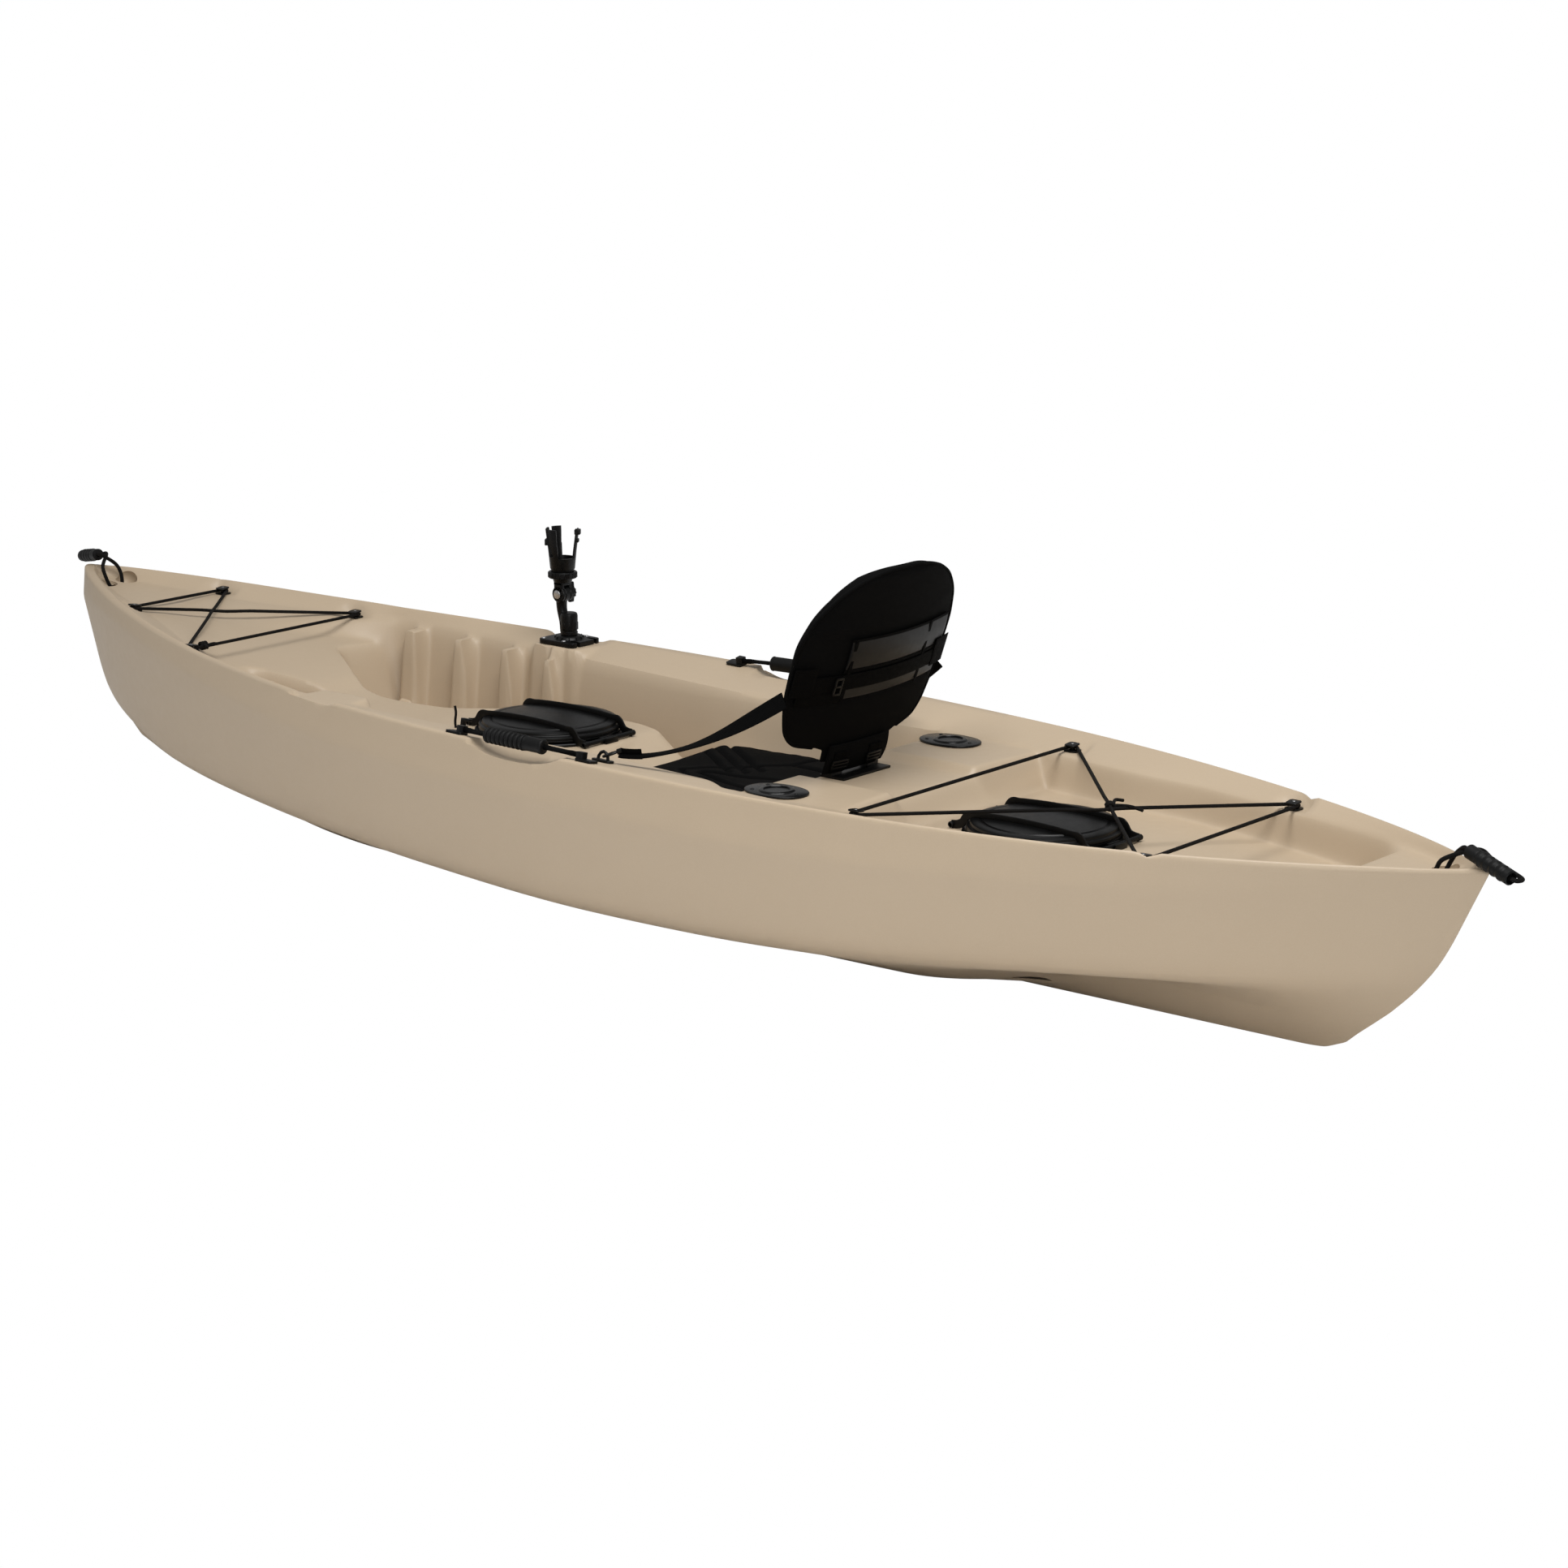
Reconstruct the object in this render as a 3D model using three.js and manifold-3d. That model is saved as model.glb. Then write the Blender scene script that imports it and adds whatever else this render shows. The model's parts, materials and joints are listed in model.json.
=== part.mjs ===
// A sit-on-top fishing kayak with its seat, hatches, rod holders, handles and cords.
// Millimetres: +X runs to the stern, +Y to starboard, +Z up, and the keel rests at z = 0.
import * as THREE from 'three';
import { mergeVertices } from 'three/addons/utils/BufferGeometryUtils.js';
import Module from 'manifold-3d';

const manifold = await Module();
manifold.setup();

// Clearances
const gap = 0.3; // between pieces that rest on each other
const runningGap = 0.5; // round a piece that turns
const overrun = 20; // how far a cutting tool passes the skin

// Hull moulding
const halfLength = 1525;
const halfBeam = 390;
const hullDepth = 400; // keel to the sheer at the bow
const wall = 5;
const keelHalf = 14;
const railCentre = 90; // from the keel line to the middle of a bottom rail
const railHalf = 15;
const channelHalf = 45;
const knuckleRise = 33; // the bevel above the chine
const rimInset = 10; // the rounded outer corner of the gunwale
const gunwaleFall = 22; // from the sheer to the edge of the wells
const rib = { width: 33, proud: 46, slope: 5, drop: 8, count: 4 };
const ribShares = { first: -0.57574, pitch: 0.07344 };

// Where the fittings stand, as shares of half the length and half the beam
const placeShares = {
  frontHatch: [-0.20984, 0], rearHatch: [0.48525, 0], strapEye: [0.06033, 0.82564],
  rodPlate: [-0.36197, 0.78462], rodTube: [0.24984, 0.59231], handleFront: [-0.12852, 0.92821],
  handleRear: [0.06033, 0.92821], fingerScoop: [-0.03279, 0.92821], padEye: [0.31803, 0],
  paddleHook: [-0.15475, 0.76923], scupper: [-0.34098, 0.44103], sternFront: [0.38557, 0.74872],
  sternRear: [0.69902, 0.54103], bowFront: [-0.83541, 0.28718], bowRear: [-0.66361, 0.53333],
  bowRope: [-0.95213, 0], sternRope: [0.94426, 0], backHinge: [0.22951, 0],
};
const placed = ([along, across]) => ({ x: along * halfLength, y: across * halfBeam });

// Deck levels, as shares of the depth
const levelShares = { frontPad: 0.6375, rearPad: 0.6125, seat: 0.5125, plateau: 0.75, rodPlate: 0.8325 };
const levelOf = (name) => levelShares[name] * hullDepth;

// Hatches, fore and aft
const hatch = {
  opening: 100, neck: 4, neckDepth: 14, flange: 132, flangeThick: 5, lipTop: 18,
  sealThick: 3, skirtInner: 110, lid: 125, lidStep: 119, skirtBottom: 6.5, stepBottom: 17,
  stepTop: 23.5, crown: 30, barRadius: 4, barOut: 138, barHalf: 66, strapWidth: 12,
  strapThick: 4, strapOut: 60, lugHalf: 16, lugWall: 4, padSlope: 12, padMargin: 24,
};
const frontHatch = { ...placed(placeShares.frontHatch), pad: levelOf('frontPad') };
const rearHatch = { ...placed(placeShares.rearHatch), pad: levelOf('rearPad') };
const lidShares = { shoulder: 0.7, strapShoulder: 0.74, strapMiddle: 0.8 };

// Seat and backrest
const seatPanShares = { front: -0.05508, half: 0.56923 };
const seatPan = {
  level: levelOf('seat'), front: seatPanShares.front * halfLength, half: seatPanShares.half * halfBeam,
};
const cushion = { frontClear: 4, rearClear: 30, sideClear: 16, crown: 30, channel: 6, lift: 18 };
const back = {
  hingeRise: 3, recline: THREE.MathUtils.degToRad(18.6), height: 360, half: 200,
  padThick: 27, padSeat: 1.2, edge: 7, wrap: 26, shell: 7, neckHalf: 64, pinRadius: 3.5, barrel: 8,
  knuckleOut: 62, knuckleSplit: 34, plateThick: 4, plateFront: 16, plateRear: 34,
};
const lumbar = { low: 128, high: 238, thick: 3, reach: 178, seat: 0.9 };
const sideStrap = { width: 38, thick: 2.5, endWidth: 25, sag: 5, clear: 4, tieHeight: 140 };
const strapTaperShare = 0.25;
const hook = { ring: 13, half: 9, wire: 2.2, stem: 6, barrel: 5 };
const strapEye = {
  ...placed(placeShares.strapEye), length: 42, width: 18, thick: 4, wire: 3, loop: 11, rise: 15, hold: 7.2,
};

// Adjustable rod holder on the starboard gunwale
const rodPlate = {
  ...placed(placeShares.rodPlate), top: levelOf('rodPlate'), length: 88, width: 78, thick: 9,
  corner: 6, slot: 8,
};
const rodPost = { boss: 25, bossHigh: 6, pin: 8, pinHigh: 18, radius: 16, topRadius: 11, stand: 24 };
const rodArm = { fore: 15, rise: 91, jaw: 15, half: 6, cheek: 7 }; // rises are above the plate's seat
const rodKnob = { radius: 12, thick: 11, wing: 19, wingThick: 7, boltRadius: 4, head: 3 };
const rodCup = {
  low: 17, high: 23, lowRise: 113, highRise: 145, wall: 4, prongWide: 17, prongThick: 6, portProngRise: 213,
  starboardProngRise: 201, hookOut: 5,
  turn: THREE.MathUtils.degToRad(33),
};
const rodRing = { wall: 6, high: 12, rise: 127 };

// Flush rod holders behind the seat
const rodTube = {
  ...placed(placeShares.rodTube), deck: levelOf('plateau'), bore: 21, wall: 2.5, depth: 150,
  flangeLong: 56, flangeWide: 41, thick: 6, screwRadius: 2.6, screwOut: 40,
};
const screwShares = [[1, 0], [-0.86, 0.5], [-0.86, -0.5]];

// Carry handles and end toggles
const handle = {
  grip: 13, gripFrom: 4, gripTo: 13, rise: 4, out: 12, strapHalf: 10,
  strapThick: 3, plateLong: 36, plateWide: 22, plateThick: 4, ribs: 8, ribDeep: 2, core: 3, pivotRise: 9,
  socketLong: 14, socketHalf: 6, socketWall: 3, straight: 16, archShare: 0.75,
};
const fingerScoop = { ...placed(placeShares.fingerScoop), half: 104, deep: 24, wide: 34, outboard: 8 };
const strapFlatShares = [0.05, 0.12, 0.2, 0.26, 0.74, 0.8, 0.88, 0.95]; // the ends of its two flat runs
const toggle = {
  rope: 3.5, grip: 12.5, length: 100, hole: 4.4, holeDrop: 9, pocket: 21, pocketOut: 25, ridges: 4,
  ridge: 2, away: 50, clear: 3, down: 20, aside: 42,
};
const ridgeShares = [0.25, 0.88];
const ropeTurnShares = [0.2, 0.8];
const ropeRiseShares = [[0, 0.35, 0], [0.03, 0.6, 0.06], [0.18, 0.78, 0.56], [0.4, 0.62, 1]];

// Shock cord and its clips
const cordRadius = 3;
const clip = { base: 13, thick: 3, post: 4, throat: 7, head: 10.8, sink: 2, crossing: 60 };
const scoopHalf = 27; // the moulded recess under each clip
const padDeep = 20; // how far a raised pad runs down into the deck

// Small fittings
const padEye = { ...placed(placeShares.padEye), half: 20, wire: 3.2, rise: 15, foot: 3, footHalf: 9 };
const paddleHook = { ...placed(placeShares.paddleHook), half: 9, high: 20, thick: 5 };
const scupper = { ...placed(placeShares.scupper), radius: 13, wall: 5 };

// Finishes
const finish = (color, roughness, metalness = 0) =>
  new THREE.MeshStandardMaterial({ color, roughness, metalness });
const sand = finish(0xbfa886, 0.52);
const blackPlastic = finish(0x151516, 0.42);
const glossPlastic = finish(0x2a2a2e, 0.22);
const fabric = finish(0x0c0c0e, 0.92);
const webbing = finish(0x131315, 0.8);
const softRubber = finish(0x101011, 0.65);
const cordFinish = finish(0x17120f, 0.75);
const steel = finish(0xb9bbbe, 0.3, 1);

const { lerp, clamp, smoothstep } = THREE.MathUtils;
const point = (x, y, z) => new THREE.Vector3(x, y, z);

// A smooth rising or falling line through a table of [place, value] pairs
function follow(table, at) {
  const last = table.length - 1;
  if (at <= table[0][0]) return table[0][1];
  if (at >= table[last][0]) return table[last][1];
  let i = 0;
  while (at > table[i + 1][0]) i += 1;
  const slope = (k) => (table[k + 1][1] - table[k][1]) / (table[k + 1][0] - table[k][0]);
  const tangent = (k) => {
    if (k === 0 || k === last) return slope(Math.min(k, last - 1));
    const before = slope(k - 1);
    const after = slope(k);
    return before * after <= 0 ? 0 : (2 * before * after) / (before + after);
  };
  const span = table[i + 1][0] - table[i][0];
  const s = (at - table[i][0]) / span;
  const blend = s * s * (3 - 2 * s);
  return lerp(table[i][1], table[i + 1][1], blend)
    + span * s * (1 - s) * ((1 - s) * tangent(i) - s * tangent(i + 1));
}

// One closed body: shared corners merged, slivers dropped, faces outward
function tidy(geometry) {
  geometry.deleteAttribute('normal');
  geometry.deleteAttribute('uv');
  const merged = mergeVertices(geometry);
  const places = merged.attributes.position;
  const corner = [point(0, 0, 0), point(0, 0, 0), point(0, 0, 0)];
  const kept = [];
  let volume = 0;
  for (let i = 0; i < merged.index.count; i += 3) {
    const ids = [0, 1, 2].map((k) => merged.index.getX(i + k));
    if (ids[0] === ids[1] || ids[1] === ids[2] || ids[2] === ids[0]) continue;
    ids.forEach((id, k) => corner[k].fromBufferAttribute(places, id));
    volume += corner[0].dot(corner[1].clone().cross(corner[2]));
    kept.push(...ids);
  }
  if (volume < 0) kept.reverse();
  merged.setIndex(kept);
  return merged;
}

function solid(geometry) {
  const closed = tidy(geometry);
  return new manifold.Manifold(new manifold.Mesh({
    numProp: 3,
    vertProperties: new Float32Array(closed.attributes.position.array),
    triVerts: new Uint32Array(closed.index.array),
  }));
}

function geometryOf(body) {
  const mesh = body.getMesh();
  const geometry = new THREE.BufferGeometry();
  geometry.setAttribute('position', new THREE.BufferAttribute(mesh.vertProperties, mesh.numProp));
  geometry.setIndex(new THREE.BufferAttribute(mesh.triVerts, 1));
  return geometry;
}

const join = (first, ...rest) => rest.reduce((body, part) => body.add(solid(part)), solid(first));

const kayak = new THREE.Group();

function add(name, shape, material, parent = kayak) {
  const geometry = shape.isBufferGeometry ? tidy(shape) : geometryOf(shape);
  const mesh = new THREE.Mesh(geometry, material);
  mesh.name = name;
  parent.add(mesh);
  return mesh;
}

// A skin over closed rings, capped at both ends or joined end to end
function skin(rings, closed = false) {
  const count = rings[0].length;
  const places = rings.flat();
  const faces = [];
  const bands = closed ? rings.length : rings.length - 1;
  for (let i = 0; i < bands; i += 1) {
    const here = i * count;
    const next = ((i + 1) % rings.length) * count;
    for (let k = 0; k < count; k += 1) {
      const side = (k + 1) % count;
      faces.push(here + k, here + side, next + side, here + k, next + side, next + k);
    }
  }
  if (!closed) {
    [rings[0], rings[rings.length - 1]].forEach((ring, end) => {
      const middle = places.length;
      places.push(ring.reduce((sum, p) => sum.add(p), point(0, 0, 0)).divideScalar(count));
      const start = end === 0 ? 0 : (rings.length - 1) * count;
      for (let k = 0; k < count; k += 1) {
        const pair = [start + k, start + ((k + 1) % count)];
        if (end === 0) pair.reverse();
        faces.push(middle, ...pair);
      }
    });
  }
  const geometry = new THREE.BufferGeometry().setFromPoints(places);
  geometry.setIndex(faces);
  return geometry;
}

// A section carried along a route, its second axis kept towards up
function sweep(route, section, up, closed = false) {
  const last = route.length - 1;
  const rings = route.map((place, i) => {
    const before = route[closed ? (i + last) % (last + 1) : Math.max(i - 1, 0)];
    const after = route[closed ? (i + 1) % (last + 1) : Math.min(i + 1, last)];
    const ahead = after.clone().sub(before).normalize();
    const across = ahead.clone().cross(up).normalize();
    const lift = across.clone().cross(ahead);
    return section(i / last).map(([a, b]) => place.clone().addScaledVector(across, a)
      .addScaledVector(lift, b));
  });
  return skin(rings, closed);
}

const disc = (radius, sides) => Array.from({ length: sides }, (_, i) => {
  const turn = (i / sides) * Math.PI * 2;
  return [radius * Math.cos(turn), radius * Math.sin(turn)];
});

const band = (width, thick) => [
  [-thick / 2, -width / 2], [thick / 2, -width / 2], [thick / 2, width / 2], [-thick / 2, width / 2],
];

// A round piece about the Z axis from a list of [radius, height]
function turned(profile, sides = 48) {
  const outline = profile.map(([radius, height]) => new THREE.Vector2(radius, height));
  return new THREE.LatheGeometry(outline, sides).rotateX(Math.PI / 2);
}

function rod(from, to, radius, sides = 12, endRadius = radius) {
  const length = from.distanceTo(to);
  const geometry = new THREE.CylinderGeometry(endRadius, radius, length, sides);
  const ahead = to.clone().sub(from).normalize();
  geometry.applyQuaternion(new THREE.Quaternion().setFromUnitVectors(point(0, 1, 0), ahead));
  return geometry.translate(...from.clone().lerp(to, 0.5).toArray());
}

function roundedOutline(length, width, corner) {
  const shape = new THREE.Shape();
  const [x, y] = [length / 2 - corner, width / 2 - corner];
  shape.absarc(x, y, corner, 0, Math.PI / 2);
  shape.absarc(-x, y, corner, Math.PI / 2, Math.PI);
  shape.absarc(-x, -y, corner, Math.PI, Math.PI * 1.5);
  shape.absarc(x, -y, corner, Math.PI * 1.5, Math.PI * 2);
  return shape;
}

const plate = (outline, thick, curveSegments = 4) =>
  new THREE.ExtrudeGeometry(outline, { depth: thick, bevelEnabled: false, curveSegments });

const box = (from, to) => new THREE.BoxGeometry(...to.clone().sub(from).toArray())
  .translate(...from.clone().lerp(to, 0.5).toArray());

// Hull lines, as shares of half the length and of the depth
const keelShares = [[-1, 0.4], [-0.95, 0.27], [-0.905, 0.205], [-0.85, 0.13], [-0.75, 0.055],
  [-0.65, 0.018], [-0.52, 0], [0.8, 0], [0.825, 0.004], [0.845, 0.03], [0.87, 0.07], [0.95, 0.22]];
const chineShares = [[-1, 0.53], [-0.975, 0.475], [-0.91, 0.39], [-0.82, 0.322], [-0.73, 0.265],
  [-0.51, 0.225], [-0.22, 0.178], [0.03, 0.148], [0.17, 0.153], [0.31, 0.173], [0.43, 0.2],
  [0.585, 0.242], [0.755, 0.283], [0.845, 0.308], [0.915, 0.35], [0.96, 0.41]];
const sheerShares = [[-1, 1.03], [-0.9, 0.985], [-0.67, 0.91], [-0.333, 0.853], [0, 0.832],
  [0.333, 0.815], [0.67, 0.805], [1, 0.82]];
const creaseDropShares = [[-1, 0.16], [-0.93, 0.1], [-0.8, 0.088], [-0.6, 0.12], [-0.3, 0.175],
  [0.35, 0.195], [0.5, 0.178], [0.67, 0.152], [0.83, 0.118], [0.93, 0.085], [1, 0.09]];
const wellEdgeShares = [[-1, 0.6], [-0.83, 0.66], [-0.67, 0.86], [-0.61, 0.945], [-0.49, 0.915],
  [-0.29, 0.765], [-0.1, 0.69], [0, 0.66], [0.16, 0.675], [0.22, 0.75], [0.3, 0.77], [0.46, 0.77],
  [0.59, 0.835], [0.71, 0.84], [0.83, 0.86], [1, 0.8]];

// Longitudinal lines from the keel to the rim: end places, width and rise as shares
const riseStationShares = [-0.72, -0.42, 0.35, 0.62, 0.88];
const hullLines = [
  { endShares: [-0.905, 0.845], widthShare: 0, riseShares: [0, 0, 0, 0, 0] },
  { endShares: [-0.915, 0.852], width: keelHalf, riseShares: [0, 0, 0, 0, 0] },
  { endShares: [-0.925, 0.864], width: channelHalf, riseShares: [0.12, 0.13, 0.13, 0.16, 0.08] },
  { endShares: [-0.938, 0.88], width: railCentre - railHalf, riseShares: [0.28, 0, 0, 0.4, 0.18] },
  { endShares: [-0.95, 0.9], width: railCentre + railHalf, riseShares: [0.42, 0, 0, 0.65, 0.32] },
  { endShares: [-0.963, 0.925], widthShare: 0.44, riseShares: [0.66, 0.37, 0.37, 0.88, 0.6] },
  { endShares: [-0.978, 0.948], widthShare: 0.8, riseShares: [1, 1, 1, 1, 1] },
];
const knuckleLine = { endShares: [-0.988, 0.963], widthShare: 0.9 };
const creaseLine = { endShares: [-1.014, 0.992], widthShare: 1.007 };
const rimLine = { endShares: [-1.01, 1], widthShare: 0.985 };
const deckEndShares = [-0.992, 0.994];
const bowPlanShares = { power: 2.1, fullness: 0.82 };
const sternPlanShares = { power: 2.5, fullness: 0.9 };

// How wide a line is at x, as a share of its width amidships
function planShare(x, endShares) {
  const u = x < 0 ? x / (endShares[0] * halfLength) : x / (endShares[1] * halfLength);
  const plan = x < 0 ? bowPlanShares : sternPlanShares;
  return Math.max(1 - Math.min(u, 1) ** plan.power, 0) ** plan.fullness;
}

const sheerHeight = (x) => hullDepth * follow(sheerShares, x / halfLength);
const rimHalf = (x) => (halfBeam - rimInset) * planShare(x, deckEndShares);
const wellEdge = (x) => rimHalf(x) * follow(wellEdgeShares, x / halfLength);

// Places along the deck, as shares of half the length
const consoleHalfShares = [[-0.66, 0.3], [-0.62, 0.25], [-0.59, 0.19], [-0.56, 0.13], [-0.53, 0.1],
  [-0.49, 0.1], [-0.43, 0.13], [-0.36, 0.19], [-0.31, 0.28], [-0.26, 0.37], [-0.21, 0.385],
  [-0.16, 0.375], [-0.12, 0.33], [-0.08, 0.3], [0.1, 0.3], [0.19, 0.252]];
const consoleTopShares = [[-1, 0.99], [-0.95, 0.96], [-0.79, 0.868], [-0.69, 0.795], [-0.62, 0.738],
  [-0.59, 0.712], [-0.56, 0.68], [-0.535, 0.635], [-0.5, 0.612], [-0.42, 0.608], [-0.36, 0.626],
  [-0.31, 0.638], [-0.125, 0.638], [-0.1, 0.6], [-0.072, 0.53], [-0.058, 0.5125]];
const footwellShares = [[-0.62, 0.44], [-0.52, 0.38], [-0.4, 0.315], [-0.28, 0.29], [-0.2, 0.3],
  [-0.13, 0.345], [-0.09, 0.44], [-0.056, 0.5125]];
const plateauShares = { front: 0.19148, crest: 0.21902, rear: 0.334, foot: 0.365 };
const plateau = {
  level: rodTube.deck, front: plateauShares.front * halfLength, crest: plateauShares.crest * halfLength,
  rear: plateauShares.rear * halfLength, foot: plateauShares.foot * halfLength, bow: 14,
};
const plateauTrough = { slope: 18, deep: 13 };
const troughHalfShare = 0.25128;
const tankShares = { rear: 0.81443, top: 0.88525 };
const consoleSlope = 34;
const footFrontShares = { centre: -0.64, side: -0.6216, run: 0.035, from: 0.24359, to: 0.60256 };
const sternDeckShares = [[0, 0.6], [1, 1]];

// The deck level between the gunwales, before the walls rise to them
function floorHeight(x, y) {
  const share = x / halfLength;
  const across = Math.abs(y);
  const troughHalf = troughHalfShare * halfBeam;
  const { slope, deep } = plateauTrough;
  const trough = deep * (1 - smoothstep(across, troughHalf, troughHalf + slope));
  const tankFront = plateau.rear + plateau.bow * (across / seatPan.half) ** 2;
  if (x < seatPan.front) {
    const console = hullDepth * follow(consoleTopShares, share);
    const half = halfBeam * follow(consoleHalfShares, share);
    const toFloor = smoothstep(across, half, half + consoleSlope);
    const { centre, side, run, from, to } = footFrontShares;
    const front = lerp(centre, side, clamp((across / halfBeam - from) / (to - from), 0, 1));
    const opened = smoothstep(share, front, front + run);
    return lerp(console, hullDepth * follow(footwellShares, share), toFloor * opened);
  }
  if (x < plateau.rear) {
    return lerp(seatPan.level, plateau.level - trough,
      smoothstep(x, plateau.front, plateau.crest));
  }
  const behind = smoothstep(x, tankFront, tankFront + plateau.foot - plateau.rear);
  const level = lerp(plateau.level - trough, rearHatch.pad, behind);
  const sternDeck = sheerHeight(x) - gunwaleFall * follow(sternDeckShares, planShare(x, deckEndShares));
  return lerp(level, sternDeck, smoothstep(share, tankShares.rear, tankShares.top));
}

// How far the well walls run inward, as a share of the edge's distance
const wallRunShares = [[-0.86, 1], [-0.72, 0.75], [-0.66, 0.3], [-0.6, 0.14], [-0.1, 0.14],
  [0, 0.13], [0.17, 0.1], [0.22, 0.02], [0.33, 0.02], [0.38, 0.1], [0.83, 0.1], [0.93, 0.6], [1, 1]];

const ribPlaces = Array.from({ length: rib.count },
  (_, i) => (ribShares.first + i * ribShares.pitch) * halfLength);

function ribShare(x, y, edge) {
  const beside = Math.min(...ribPlaces.map((place) => Math.abs(x - place)));
  const along = 1 - smoothstep(beside, rib.width / 2 - rib.slope, rib.width / 2 + rib.slope);
  const inward = 1 - smoothstep(edge - Math.abs(y), rib.proud, rib.proud + 2 * rib.slope);
  return along * inward;
}

function deckHeight(x, y, withRibs = true) {
  const across = Math.abs(y);
  const edge = wellEdge(x);
  const rim = rimHalf(x);
  const sheer = sheerHeight(x);
  const edgeLevel = sheer - gunwaleFall * clamp((rim - edge) / rimInset, 0, 1);
  if (across >= edge) return lerp(edgeLevel, sheer, clamp((across - edge) / (rim - edge + gap), 0, 1));
  const run = edge * follow(wallRunShares, x / halfLength);
  const down = smoothstep(edge - across, 0, run);
  const level = lerp(edgeLevel, Math.min(floorHeight(x, y), edgeLevel), down);
  if (!withRibs) return level;
  return lerp(level, Math.max(level, edgeLevel - rib.drop), ribShare(x, y, edge));
}

// Deck lines across the boat: places between the rim, the well edge and the console
const wallLineShares = { steepest: 0.14, ribFace: 0.18, ribFoot: 0.22, console: 0.56, consoleFoot: 0.68 };

function deckAcross(x) {
  const rim = rimHalf(x);
  const edge = wellEdge(x);
  const half = Math.min(halfBeam * follow(consoleHalfShares, x / halfLength),
    wallLineShares.console * edge);
  const foot = Math.min(half + consoleSlope, wallLineShares.consoleFoot * edge);
  const run = Math.min(follow(wallRunShares, x / halfLength), wallLineShares.steepest) * edge;
  const ribFoot = edge - Math.min(rib.proud + 2 * rib.slope, wallLineShares.ribFoot * edge);
  return [rim, edge, edge - run,
    edge - Math.min(rib.proud, wallLineShares.ribFace * edge), ribFoot, (ribFoot + foot) / 2, foot, half, 0];
}

// One closed ring of the hull skin at a share of the way from bow to stern
function hullRing(share, withRibs) {
  const placeOn = (endShares) => halfLength * lerp(endShares[0], endShares[1], share);
  const starboard = [];
  hullLines.forEach((line) => {
    const x = placeOn(line.endShares);
    const width = (line.width ?? line.widthShare * halfBeam) * planShare(x, line.endShares);
    const keel = hullDepth * follow(keelShares, x / halfLength);
    const chine = hullDepth * follow(chineShares, x / halfLength);
    const rise = follow(riseStationShares.map((s, i) => [s, line.riseShares[i]]), x / halfLength);
    starboard.push(point(x, width, lerp(keel, chine, rise)));
  });
  const knuckleX = placeOn(knuckleLine.endShares);
  const knuckleHalf = knuckleLine.widthShare * halfBeam;
  starboard.push(point(knuckleX, knuckleHalf * planShare(knuckleX, knuckleLine.endShares),
    hullDepth * follow(chineShares, knuckleX / halfLength) + knuckleRise));
  const creaseX = placeOn(creaseLine.endShares);
  starboard.push(point(creaseX, creaseLine.widthShare * halfBeam * planShare(creaseX, creaseLine.endShares),
    sheerHeight(creaseX) - hullDepth * follow(creaseDropShares, creaseX / halfLength)));
  const rimX = placeOn(rimLine.endShares);
  starboard.push(point(rimX, rimLine.widthShare * halfBeam * planShare(rimX, rimLine.endShares),
    sheerHeight(rimX) - rimInset));
  const deckX = placeOn(deckEndShares);
  deckAcross(deckX).forEach((y) => starboard.push(point(deckX, y, deckHeight(deckX, y, withRibs))));
  const port = starboard.slice(1, -1).reverse().map((p) => point(p.x, -p.y, p.z));
  return [...starboard, ...port];
}

// Stations along the boat, as shares of half the length
const stationShares = [-0.992, -0.98, -0.95, -0.9, -0.83, -0.77, -0.74, -0.715, -0.69, -0.665,
  -0.645, -0.62, -0.605, -0.3, -0.25, -0.19, -0.14, -0.105, -0.08, -0.055, 0.08, 0.192, 0.206, 0.219, 0.3,
  0.333, 0.341, 0.349, 0.357, 0.366, 0.39, 0.52, 0.66, 0.815, 0.845, 0.886, 0.93, 0.965, 0.985, 0.994];
const ribEdges = ribPlaces.flatMap((place) => [-1, 1].flatMap((side) =>
  [place + side * (rib.width / 2 - rib.slope), place + side * (rib.width / 2 + rib.slope)]));
const toShare = (x) => (x / halfLength - deckEndShares[0]) / (deckEndShares[1] - deckEndShares[0]);
const stations = stationShares.map((share) => share * halfLength).concat(ribEdges).sort((a, b) => a - b);

const cavityStationShares = [-0.77, -0.74, -0.715, -0.69, -0.665, -0.645, -0.62, -0.605, -0.59, -0.575,
  -0.54, -0.5, -0.45, -0.4, -0.36, -0.33, -0.3, -0.25, -0.19, -0.14, -0.105, -0.08, -0.055, 0.08,
  0.192, 0.206, 0.219, 0.3, 0.333, 0.341, 0.349, 0.357, 0.366, 0.39, 0.52, 0.66, 0.815];
const bulkheadShare = 0.78033; // the stern tip behind it is solid
const ringLines = ['keel', 'keelSide', 'channel', 'railInner', 'railOuter', 'bilge', 'chine', 'knuckle',
  'crease', 'rim', 'deckRim', 'wellEdge', 'wallFoot', 'ribFace', 'ribFoot', 'floor', 'consoleFoot',
  'consoleTop', 'centre'];
const leftOut = ['keelSide', 'knuckle', 'rim'];
const cavityLines = ringLines.map((_, i) => i).filter((i) => !leftOut.includes(ringLines[i]));

// The hollow inside the skin: the main lines of the ribless skin, drawn in by the wall
function cavity() {
  const places = cavityStationShares.map((share) => toShare(share * halfLength));
  const count = hullRing(places[0], false).length;
  const kept = [...cavityLines, ...cavityLines.slice(1, -1).reverse().map((k) => count - k)];
  const outer = skin(places.map((share) => hullRing(share, false)));
  outer.computeVertexNormals();
  const rings = places.map((_, i) => kept.map((k) => {
    const place = point(0, 0, 0).fromBufferAttribute(outer.attributes.position, i * count + k);
    const normal = point(0, 0, 0).fromBufferAttribute(outer.attributes.normal, i * count + k);
    return place.addScaledVector(normal, -wall);
  }));
  return skin(rings);
}

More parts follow.
